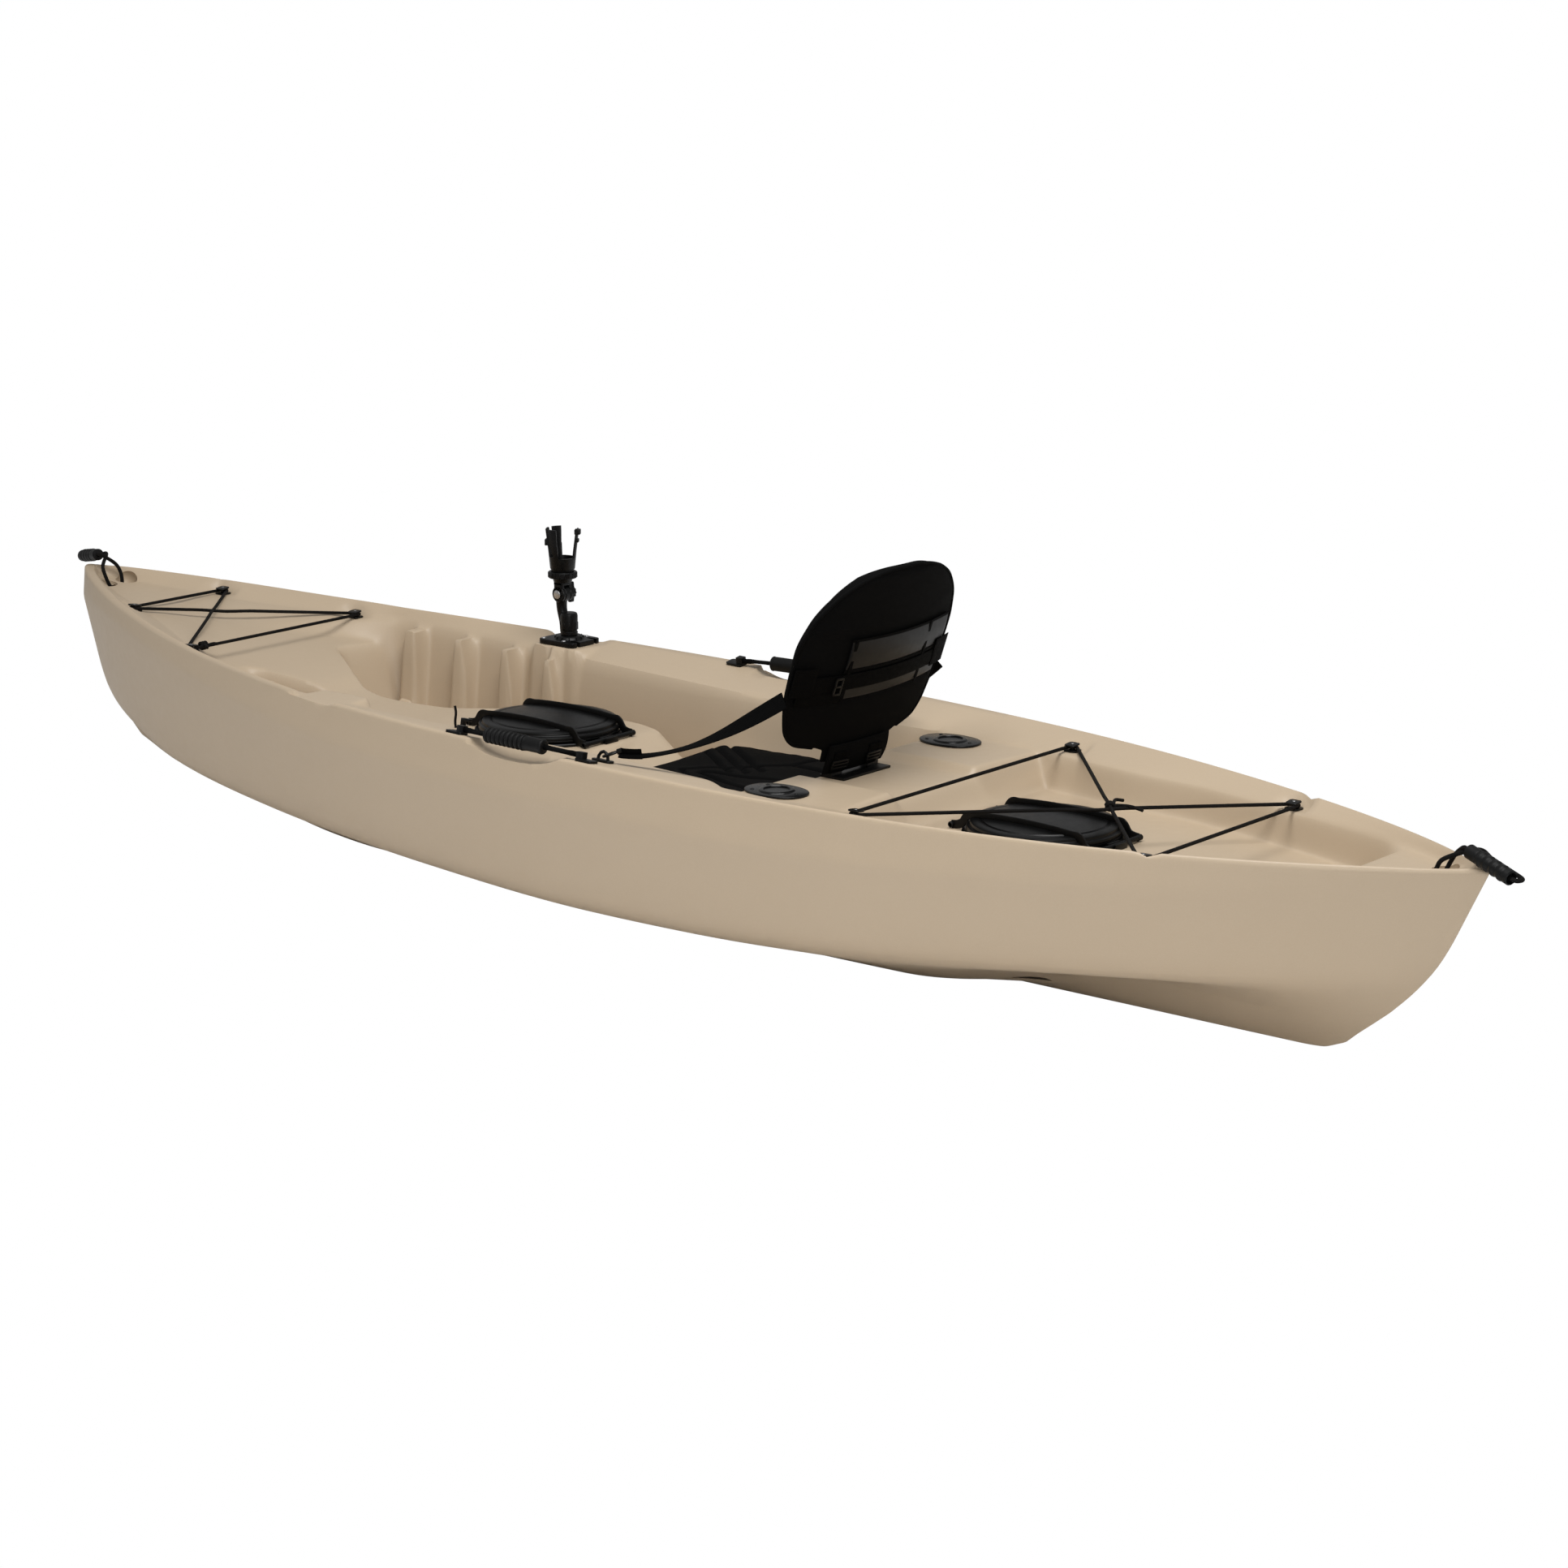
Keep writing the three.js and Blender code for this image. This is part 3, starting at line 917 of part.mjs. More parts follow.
// Carry handles: two end sockets, a webbing arch with a round core, and a ribbed grip over it
function addCarryHandle(side) {
  const name = side < 0 ? 'port' : 'starboard';
  const { socketLong, socketHalf, plateLong, plateWide, plateThick, core, pivotRise } = handle;
  const frames = [placeShares.handleFront, placeShares.handleRear].map(placed).map(({ x, y }) => {
    const frame = seated(x, side * y, plateLong / 2, plateWide / 2);
    frame.updateMatrixWorld(true);
    return frame;
  });
  const boreOut = plateLong / 2 - socketLong + handle.socketWall;
  const bores = frames.map((frame, i) => frame
    .localToWorld(point(i === 0 ? boreOut : -boreOut, 0, pivotRise)));
  const along = bores[1].clone().sub(bores[0]).normalize();
  const ends = frames.map((frame, i) => {
    const inward = i === 0 ? 1 : -1;
    const near = inward * (plateLong / 2 - socketLong);
    const far = inward * plateLong / 2;
    let body = join(plate(roundedOutline(plateLong, plateWide, plateWide / 4), plateThick),
      box(point(Math.min(near, far), -socketHalf, plateThick / 2),
        point(Math.max(near, far), socketHalf, pivotRise + socketHalf)));
    const mouth = frame.worldToLocal(bores[i].clone()
      .addScaledVector(along, inward * (socketLong + overrun)));
    body = body.subtract(solid(rod(frame.worldToLocal(bores[i].clone()), mouth, core + runningGap, 8)));
    add(`${name}_handle_${i === 0 ? 'front' : 'rear'}_socket`, body, blackPlastic, frame);
    return bores[i].clone().addScaledVector(along, inward * runningGap);
  });
  const straight = handle.straight;
  const arch = (t) => Math.sin(Math.PI * clamp(t, 0, 1)) ** handle.archShare;
  const from = ends[0].clone().addScaledVector(along, straight);
  const to = ends[1].clone().addScaledVector(along, -straight);
  const inner = Array.from({ length: 17 }, (_, i) => from.clone().lerp(to, i / 16)
    .add(point(0, side * handle.out * arch(i / 16), handle.rise * arch(i / 16))));
  const route = [ends[0], ...inner, ends[1]];
  const run = strapFlatShares;
  const flat = (t) => smoothstep(t, run[0], run[1]) * (1 - smoothstep(t, run[2], run[3]))
    + smoothstep(t, run[4], run[5]) * (1 - smoothstep(t, run[6], run[7]));
  add(`${name}_handle_strap`, sweep(route, (t) => {
    const wide = lerp(core, handle.strapHalf, flat(t));
    const thin = lerp(core, handle.strapThick / 2, flat(t));
    return disc(1, 8).map(([a, b]) => [a * wide, b * thin]);
  }, point(0, 0, 1)), webbing);
  const gripRoute = inner.slice(handle.gripFrom, handle.gripTo);
  const ribbed = (t) => handle.grip - handle.ribDeep * (1 + Math.cos(2 * Math.PI * handle.ribs * t)) / 2;
  const fine = new THREE.CatmullRomCurve3(gripRoute).getPoints(2 * handle.ribs);
  const grip = solid(sweep(fine, (t) => disc(ribbed(t), 8), point(0, 0, 1)));
  const bored = solid(sweep(inner.slice(handle.gripFrom - 1, handle.gripTo + 1),
    () => disc(core + runningGap, 8), point(0, 0, 1)));
  add(`${name}_handle_grip`, grip.subtract(bored), softRubber);
}
[-1, 1].forEach(addCarryHandle);

// End toggles: a rope loop through the tip, with a ridged tube on one of its strands
function addToggle(name, { x, z }, ahead) {
  const { rope, grip, length, away, down, aside, ridge, ridges } = toggle;
  const place = (out, side, height) => point(x + ahead * out, side, height);
  const over = (out) => sheerHeight(x + ahead * out) + rope + toggle.clear;
  const start = place(away, 0, over(away) + grip);
  const direction = point(ahead * length, -ahead * aside, -down).normalize();
  const beside = direction.clone().cross(point(0, 0, ahead)).negate().normalize();
  const offset = grip + rope + runningGap;
  const onLoop = (along, out) => start.clone().addScaledVector(direction, along)
    .addScaledVector(beside, out);
  const rising = (side) => ropeRiseShares.map(([out, across, up]) => place(out * away,
    side * across * toggle.pocketOut, lerp(z, over(out * away), up)));
  const strand = (out) => [0, length / 3, length * 2 / 3, length].map((along) => onLoop(along, out));
  const turnBack = ropeTurnShares.map((share) => onLoop(length + offset / 2, offset * share));
  const knots = [...rising(1), onLoop(-grip, 0), ...strand(0), ...turnBack, ...strand(offset).reverse(),
    ...rising(-1).reverse()];
  const route = new THREE.CatmullRomCurve3(knots, true, 'centripetal').getSpacedPoints(44).slice(0, -1);
  add(`${name}_toggle_rope`, sweep(route, () => disc(rope, 6), point(0, 0, 1), true), cordFinish);
  const plain = grip - ridge;
  const steps = 2 * ridges;
  const shape = Array.from({ length: steps + 1 }, (_, i) => [i % 2 === 0 ? plain : grip,
    length * lerp(...ridgeShares, i / steps)]);
  const bore = rope + 2 * runningGap;
  const tube = turned([[bore, 0], [plain, 0], ...shape, [plain, length], [bore, length], [bore, 0]], 12);
  tube.applyQuaternion(new THREE.Quaternion().setFromUnitVectors(point(0, 0, 1), direction));
  add(`${name}_toggle_grip`, tube.translate(...start.toArray()), softRubber);
}
addToggle('bow', bowEnd, -1);
addToggle('stern', sternEnd, 1);

// Clips and the shock cord that runs round them
clipList.forEach((one) => {
  const { base, thick, post, throat, head } = clip;
  const low = gap;
  add(one.name, turned([[0, low], [base, low], [base, low + thick], [post, low + thick],
    [post, low + thick + throat], [head, low + thick + throat], [head, low + 2 * thick + throat],
    [0, low + 2 * thick + throat]], 10), blackPlastic, at(one.x, one.y, one.z));
});

function addBungee(end) {
  const [portFront, starFront, portRear, starRear] = clipList.filter((one) => one.end === end)
    .map(({ x, y, z }) => point(x, y, z + gap + clip.thick + clip.throat / 2));
  const stops = [portFront, starFront, portRear, starRear];
  const turnRadius = clip.post + 2 * gap + cordRadius;
  const corners = stops.map((stop, i) => {
    const level = (p) => point(p.x, p.y, 0).normalize();
    const arriving = level(stop.clone().sub(stops[(i + 3) % 4]));
    const leaving = level(stops[(i + 1) % 4].clone().sub(stop));
    const out = level(arriving.clone().sub(leaving));
    const square = (way) => out.clone().addScaledVector(way, -out.dot(way)).normalize();
    const first = square(arriving);
    return Array.from({ length: 7 }, (_, k) => {
      const total = 2 * first.angleTo(out);
      const axis = first.clone().cross(out).normalize();
      const spin = new THREE.Quaternion().setFromAxisAngle(axis, total * k / 6);
      return stop.clone().addScaledVector(first.clone().applyQuaternion(spin), turnRadius);
    });
  });
  const middle = stops.reduce((sum, p) => sum.add(p), point(0, 0, 0)).divideScalar(4);
  const route = corners.flatMap((corner, i) => {
    const from = corner[corner.length - 1];
    const to = corners[(i + 1) % 4][0];
    const crossing = i % 2 === 1 ? (i === 1 ? 1 : -1) : 0;
    const run = Array.from({ length: 9 }, (_, k) => {
      const place = from.clone().lerp(to, (k + 1) / 10);
      const beside = Math.hypot(place.x - middle.x, place.y - middle.y) / clip.crossing;
      const near = Math.min(beside, 1);
      place.z += crossing * (cordRadius + gap) * (1 + Math.cos(Math.PI * near)) / 2;
      return place;
    });
    return [...corner, ...run];
  });
  add(`${end}_bungee`, sweep(route, () => disc(cordRadius, 6), point(0, 0, 1), true), cordFinish);
}
['bow', 'stern'].forEach(addBungee);

// Rear pad eye and the paddle hook beside the port handle
function addSmallFittings() {
  const eye = seated(padEye.x, 0, padEye.half, padEye.footHalf);
  const loop = padEye.half - padEye.wire * 2;
  const arch = Array.from({ length: 9 }, (_, i) => {
    const turn = Math.PI * i / 8;
    return point(0, loop * Math.cos(turn), padEye.foot / 2 + padEye.rise * Math.sin(turn));
  });
  const foot = roundedOutline(2 * padEye.footHalf, 2 * padEye.half, padEye.footHalf / 2);
  add('rear_pad_eye', join(plate(foot, padEye.foot),
    sweep(arch, () => disc(padEye.wire, 8), point(1, 0, 0))), blackPlastic, eye);

  const { half, high, thick } = paddleHook;
  const hookFrame = seated(paddleHook.x, -paddleHook.y, half, half);
  const outline = [[-half, 0], [half, 0], [half, thick], [-half + thick, thick],
    [-half + thick, high - thick], [half, high - thick], [half, high], [-half, high]]
    .map(([a, b]) => new THREE.Vector2(a, b));
  const bent = plate(new THREE.Shape(outline), thick * 2).rotateX(Math.PI / 2).translate(0, thick, 0);
  add('paddle_hook', bent, blackPlastic, hookFrame);
}
addSmallFittings();

export default kayak;
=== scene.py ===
import bpy, bmesh, json, math
import numpy as np
from mathutils import Matrix, Quaternion, Vector


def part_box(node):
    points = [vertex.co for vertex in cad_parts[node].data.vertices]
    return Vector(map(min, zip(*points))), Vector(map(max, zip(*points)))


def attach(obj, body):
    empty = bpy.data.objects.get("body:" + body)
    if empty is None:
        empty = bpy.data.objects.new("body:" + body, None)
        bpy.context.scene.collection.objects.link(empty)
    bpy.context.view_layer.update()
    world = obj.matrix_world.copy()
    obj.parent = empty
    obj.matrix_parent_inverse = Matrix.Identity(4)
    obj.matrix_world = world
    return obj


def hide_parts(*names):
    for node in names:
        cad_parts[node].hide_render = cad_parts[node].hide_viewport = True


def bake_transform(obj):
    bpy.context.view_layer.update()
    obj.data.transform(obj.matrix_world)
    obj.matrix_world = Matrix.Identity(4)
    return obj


# Lengths are in millimetres until the mesh helpers turn them into metres.
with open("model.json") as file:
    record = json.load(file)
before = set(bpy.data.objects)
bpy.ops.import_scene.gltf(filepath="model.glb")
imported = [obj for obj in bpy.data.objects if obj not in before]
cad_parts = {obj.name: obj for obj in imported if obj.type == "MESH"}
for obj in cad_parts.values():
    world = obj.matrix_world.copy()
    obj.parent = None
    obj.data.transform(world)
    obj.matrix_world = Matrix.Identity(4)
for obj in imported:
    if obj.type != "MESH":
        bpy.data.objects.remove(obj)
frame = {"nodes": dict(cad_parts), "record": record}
nodes = frame["nodes"]
bodyOf = {node: body for body, members in frame["record"]["behaviour"]["bodies"].items() for node in members}
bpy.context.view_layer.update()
mm = 0.001
print("frame loaded")


# Materials

class Wire:
    # a shader socket that takes part in arithmetic
    def __init__(self, finish, socket):
        self.finish, self.socket = finish, socket

    def maths(self, operation, *values):
        return self.finish.node("ShaderNodeMath", {"operation": operation}, *values)

    def __add__(self, other):
        return self.maths("ADD", self, other)

    def __radd__(self, other):
        return self.maths("ADD", other, self)

    def __sub__(self, other):
        return self.maths("SUBTRACT", self, other)

    def __rsub__(self, other):
        return self.maths("SUBTRACT", other, self)

    def __mul__(self, other):
        return self.maths("MULTIPLY", self, other)

    def __rmul__(self, other):
        return self.maths("MULTIPLY", other, self)

    def sine(self):
        return self.maths("SINE", self)

    def least(self, other):
        return self.maths("MINIMUM", self, other)

    def most(self, other):
        return self.maths("MAXIMUM", self, other)

    def clamp(self):
        return self.least(1.0).most(0.0)

    def out(self, name):
        return Wire(self.finish, self.socket.node.outputs[name])


class Finish:
    # a node material whose Principled sockets are set by constants here and by wires in set()
    def __init__(self, name, **constants):
        self.material = bpy.data.materials.new(name)
        self.material.use_nodes = True
        self.tree = self.material.node_tree
        self.shader = self.tree.nodes["Principled BSDF"]
        for socketName, value in constants.items():
            self.shader.inputs[socketName.replace("_", " ")].default_value = value

    def node(self, kind, settings=None, *values, **named):
        made = self.tree.nodes.new(kind)
        for key, value in (settings or {}).items():
            setattr(made, key, value)
        sockets = dict(enumerate(values))
        sockets.update((name.replace("_", " "), value) for name, value in named.items())
        for key, value in sockets.items():
            if isinstance(value, Wire):
                self.tree.links.new(value.socket, made.inputs[key])
            else:
                made.inputs[key].default_value = value
        return Wire(self, next(socket for socket in made.outputs if socket.enabled))

    def set(self, **wires):
        for name, wire in wires.items():
            self.tree.links.new(wire.socket, self.shader.inputs[name.replace("_", " ")])

    def place(self):
        return self.node("ShaderNodeTexCoord").out("Object")

    def alongUv(self):
        split = self.node("ShaderNodeSeparateXYZ", None, self.node("ShaderNodeTexCoord").out("UV"))
        return split.out("X"), split.out("Y")

    def axes(self):
        split = self.node("ShaderNodeSeparateXYZ", None, self.place())
        return split.out("X"), split.out("Y"), split.out("Z")

    def noise(self, scale, detail=2.0, roughness=0.5, vector=None):
        return self.node("ShaderNodeTexNoise", None, Vector=vector or self.place(), Scale=scale,
                         Detail=detail, Roughness=roughness)

    def colors(self, factor, first, second):
        made = self.node("ShaderNodeMix", {"data_type": "RGBA"})
        for socket, value in zip((0, 6, 7), (factor, first, second)):
            if isinstance(value, Wire):
                self.tree.links.new(value.socket, made.socket.node.inputs[socket])
            else:
                made.socket.node.inputs[socket].default_value = value
        return Wire(self, made.socket.node.outputs[2])

    def bump(self, height, strength, distance=mm, under=None):
        named = {"Normal": under} if under else {}
        return self.node("ShaderNodeBump", None, Height=height, Strength=strength, Distance=distance, **named)


def shade(*levels):
    return (*levels, 1.0) if len(levels) == 3 else (levels[0], levels[0], levels[0], 1.0)


def hullPlastic():
    # rotomoulded polyethylene: faint clouding, pinhole grain and a soft satin shine
    finish = Finish("hullPlastic", Roughness=0.4, Specular_IOR_Level=0.45)
    cloud = finish.noise(2.2, 3.0, 0.55)
    speck = finish.noise(420.0, 2.0, 0.6)
    tone = finish.colors(cloud, shade(0.475, 0.372, 0.258), shade(0.505, 0.4, 0.282))
    grain = finish.colors((speck - 0.35).clamp() * 0.5, tone, shade(0.56, 0.455, 0.33))
    ripple = finish.noise(26.0, 2.0)
    pits = finish.noise(900.0, 2.0, 0.6)
    soft = finish.bump(ripple, 0.12, 1.5 * mm)
    finish.set(Base_Color=grain, Roughness=0.36 + 0.16 * finish.noise(60.0, 3.0),
               Normal=finish.bump(pits, 0.12, 0.25 * mm, soft))
    return finish.material


def mouldedPlastic(name, level, low, high, grain, shine):
    # injection-moulded plastic: spark-eroded grain, scuffed slightly paler in patches
    finish = Finish(name, Specular_IOR_Level=shine)
    scuff = (finish.noise(38.0, 4.0, 0.62) - 0.45).clamp() * 1.6
    finish.set(Base_Color=finish.colors(scuff, shade(level), shade(level * 2.1)),
               Roughness=low + (high - low) * finish.noise(90.0, 3.0),
               Normal=finish.bump(finish.noise(1500.0, 2.0, 0.65), grain, 0.2 * mm,
                                  finish.bump(finish.noise(70.0), 0.1, 0.6 * mm)))
    return finish.material


def wovenFabric(name, level, pitch):
    # a plain weave: two crossed sets of threads, with a matt nap
    finish = Finish(name, Roughness=0.92, Specular_IOR_Level=0.08)
    x, y, z = finish.axes()
    turns = 2 * math.pi / (pitch * mm)
    warp = (turns * (y + 0.35 * x)).sine()
    weft = (turns * (z + 0.6 * x)).sine()
    weave = warp * weft
    nap = finish.noise(160.0, 4.0, 0.65)
    tone = finish.colors(nap, shade(level * 0.7), shade(level * 1.5))
    finish.set(Base_Color=tone, Roughness=0.8 + 0.15 * nap,
               Normal=finish.bump(weave * 0.5 + nap, 0.45, 0.5 * mm))
    return finish.material


def webbingFinish(name, level, pitch=1.6):
    # flat webbing: ribs across its run and a twill, on its own UV in metres
    finish = Finish(name, Roughness=0.8, Specular_IOR_Level=0.05)
    across, along = finish.alongUv()
    turns = 2 * math.pi / (pitch * mm)
    rib = (along * turns + (across * turns).sine() * 0.6).sine()
    twill = ((along + across) * turns * 0.5).sine()
    dust = finish.noise(120.0, 3.0)
    # the colour is darker between the ribs and paler on their crests: painted shade and highlight that follow
    # the rib relief, mixed with random dust
    finish.set(Base_Color=finish.colors((rib * 0.3 + 0.5) * dust, shade(level * 0.6), shade(level * 1.8)),
               Roughness=0.6 + 0.25 * dust, Normal=finish.bump(rib + twill * 0.5, 0.5, 0.35 * mm))
    return finish.material


def braidFinish(name, level, fleck, pitch=2.6):
    # braided cord: two sets of strands crossing on the round, with a fleck in one of them
    finish = Finish(name, Roughness=0.75, Specular_IOR_Level=0.15)
    around, along = finish.alongUv()
    turns = 2 * math.pi / (pitch * mm)
    left = (along * turns + around * turns * 1.5).sine()
    right = (along * turns - around * turns * 1.5).sine()
    braid = left.most(right)
    chosen = ((along * turns * 0.25 + around * turns).sine() - 0.55).clamp() * 2.0
    finish.set(Base_Color=finish.colors(chosen, shade(level), fleck),
               Roughness=0.6 + 0.2 * finish.noise(300.0), Normal=finish.bump(braid, 0.7, 0.5 * mm))
    return finish.material


def steelFinish():
    finish = Finish("stainlessSteel", Metallic=1.0, Specular_IOR_Level=0.5)
    brushed = finish.noise(240.0, 3.0, 0.6)
    finish.set(Base_Color=finish.colors(brushed, shade(0.5, 0.5, 0.51), shade(0.68, 0.68, 0.69)),
               Roughness=0.22 + 0.2 * brushed, Normal=finish.bump(brushed, 0.1, 0.2 * mm))
    return finish.material


# plastics: level, least and most roughness, grain, shine
finishes = {
    "hull": hullPlastic(),
    "black_plastic": mouldedPlastic("satinBlack", 0.0022, 0.3, 0.42, 0.2, 0.22),
    "gloss_plastic": mouldedPlastic("glossBlack", 0.004, 0.2, 0.3, 0.05, 0.22),
    "rubber": mouldedPlastic("softRubber", 0.0022, 0.42, 0.6, 0.25, 0.2),
    "fabric": wovenFabric("seatFabric", 0.0014, 1.1),
    "webbing": webbingFinish("blackWebbing", 0.0011),
    "cord": braidFinish("shockCord", 0.0025, shade(0.012, 0.008, 0.006)),
    "steel": steelFinish(),
}


# Shape helpers

sides = {"port": -1, "starboard": 1}


def unit(vectors):
    return vectors / np.linalg.norm(vectors, axis=-1, keepdims=True)


def lengthsAlong(route):
    # how far along the route each of its points lies
    return np.concatenate([[0], np.linalg.norm(np.diff(route, axis=0), axis=1).cumsum()])


def finishPiece(name, bm, slot, node=None, body=None, sharp=35, material=None):
    # turns a bmesh in metres into a piece that rides on its node's body, and stands for that node
    mesh = bpy.data.meshes.new(name)
    bmesh.ops.recalc_face_normals(bm, faces=bm.faces)
    bm.to_mesh(mesh)
    bm.free()
    mesh.shade_smooth()
    mesh.set_sharp_from_angle(angle=math.radians(sharp))
    mesh.materials.append(material or finishes[slot])
    piece = bpy.data.objects.new(name, mesh)
    bpy.context.scene.collection.objects.link(piece)
    if node:
        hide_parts(node)
    if node or body:
        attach(piece, body or bodyOf[node])
    return piece


def gridMesh(places, closed=False, caps=True):
    # a skin over rows of points in millimetres; closed joins each row's end to its start
    rows, columns = places.shape[:2]
    bm = bmesh.new()
    bmesh.ops.create_grid(bm, x_segments=columns - 1 + closed, y_segments=rows - 1, size=1.0)
    uv = bm.loops.layers.uv.new("UVMap")
    wrapped = np.concatenate([places, places[:, :1]], axis=1) if closed else places
    along, across = lengthsAlong(wrapped[:, 0]) * mm, lengthsAlong(wrapped[rows // 2]) * mm
    spans = wrapped.shape[1] - 1
    order = {}
    for vert in bm.verts:
        i, j = round((vert.co.y + 1) / 2 * (rows - 1)), round((vert.co.x + 1) / 2 * spans)
        order[vert] = (i, j)
    for vert, (i, j) in order.items():
        vert.co = Vector(wrapped[i, j]) * mm
    for face in bm.faces:
        for loop in face.loops:
            i, j = order[loop.vert]
            loop[uv].uv = (across[j], along[i])
    if closed:
        bmesh.ops.remove_doubles(bm, verts=bm.verts, dist=0.004 * mm)
        if caps:
            edges = [edge for edge in bm.edges if edge.is_boundary]
            bmesh.ops.holes_fill(bm, edges=edges, sides=0)
    return bm


def turnedMesh(profile, steps=72):
    # a round body about the Z axis from [radius, height] pairs, as a full spin of a line of edges
    bm = bmesh.new()
    points = [bm.verts.new((radius * mm, 0, height * mm)) for radius, height in profile]
    edges = [bm.edges.new(pair) for pair in zip(points, points[1:])]
    bmesh.ops.spin(bm, geom=points + edges, cent=(0, 0, 0), axis=(0, 0, 1), angle=2 * math.pi,
                   steps=steps, use_merge=True)
    bmesh.ops.remove_doubles(bm, verts=bm.verts, dist=0.004 * mm)
    return bm


def boxMesh(low, high, bevel=0.0, segments=2):
    bm = bmesh.new()
    bmesh.ops.create_cube(bm, size=1.0)
    low, high = Vector(low) * mm, Vector(high) * mm
    bmesh.ops.scale(bm, vec=high - low, verts=bm.verts)
    bmesh.ops.translate(bm, vec=(low + high) / 2, verts=bm.verts)
    if bevel:
        roundEdges(bm, bevel, segments)
    return bm


def roundEdges(bm, width, segments=2, angle=30):
    edges = [edge for edge in bm.edges if edge.is_manifold and edge.calc_face_angle(0) > math.radians(angle)]
    bmesh.ops.bevel(bm, geom=edges, offset=width * mm, offset_type="OFFSET", segments=segments,
                    profile=0.5, affect="EDGES", material=-1, clamp_overlap=True)


def joined(first, *others):
    # several bmeshes as one
    for other in others:
        carrier = bpy.data.meshes.new("carrier")
        other.to_mesh(carrier)
        other.free()
        first.from_mesh(carrier)
        bpy.data.meshes.remove(carrier)
    return first


def moved(bm, matrix):
    bmesh.ops.transform(bm, matrix=matrix, verts=bm.verts)
    return bm


def frameAt(place, turn=None):
    return Matrix.Translation(Vector(place) * mm) @ (turn or Matrix.Identity(3)).to_4x4()


def sectionsAlong(route, section, up=(0, 0, 1), closed=False):
    # rows of points: section(t) gives [across, lift] pairs, carried along the route's points
    route = np.array(route, float)
    ahead = np.roll(route, -1, 0) - np.roll(route, 1, 0)
    if not closed:
        ahead[0], ahead[-1] = route[1] - route[0], route[-1] - route[-2]
    ahead = unit(ahead)
    across = unit(np.cross(ahead, np.array(up, float)))
    lift = np.cross(across, ahead)
    last = max(len(route) - 1, 1)
    rows = []
    for i, place in enumerate(route):
        pairs = np.array(section(i / last))
        rows.append(place + pairs[:, :1] * across[i] + pairs[:, 1:] * lift[i])
    return np.array(rows)


def tubeAlong(route, radius, sides=12, up=(0, 0, 1), closed=False):
    radiusAt = radius if callable(radius) else (lambda t: radius)
    turns = np.linspace(0, 2 * math.pi, sides, endpoint=False)
    ring = np.stack([np.cos(turns), np.sin(turns)], 1)
    rows = sectionsAlong(route, lambda t: ring * radiusAt(t), up, closed)
    if closed:
        rows = np.concatenate([rows, rows[:1]])
    return gridMesh(rows, closed=True, caps=not closed)


def bandAlong(route, width, thick, up=(0, 0, 1), corner=None):
    # a flat strap with rounded edges
    corner = corner or thick / 2
    turns = np.linspace(0, 2 * math.pi, 16, endpoint=False)
    out = np.sign(np.sin(turns)) * (width / 2 - corner) + corner * np.sin(turns)
    high = np.sign(np.cos(turns)) * (thick / 2 - corner) + corner * np.cos(turns)
    section = np.stack([high, out], 1)
    return gridMesh(sectionsAlong(route, lambda t: section, up), closed=True)


def recast(node, bevel):
    # the CAD shape itself, welded, with its hard edges rounded
    bm = bmesh.new()
    bm.from_mesh(nodes[node].data)
    bmesh.ops.remove_doubles(bm, verts=bm.verts, dist=0.02 * mm)
    bmesh.ops.dissolve_limit(bm, angle_limit=math.radians(1.0), verts=bm.verts, edges=bm.edges)
    roundEdges(bm, bevel)
    finishPiece(f"{node}_look", bm, slotOf[node], node, sharp=40)


slotOf = {part["node"]: part["material_slot"] for part in frame["record"]["subparts"]}


# Hull

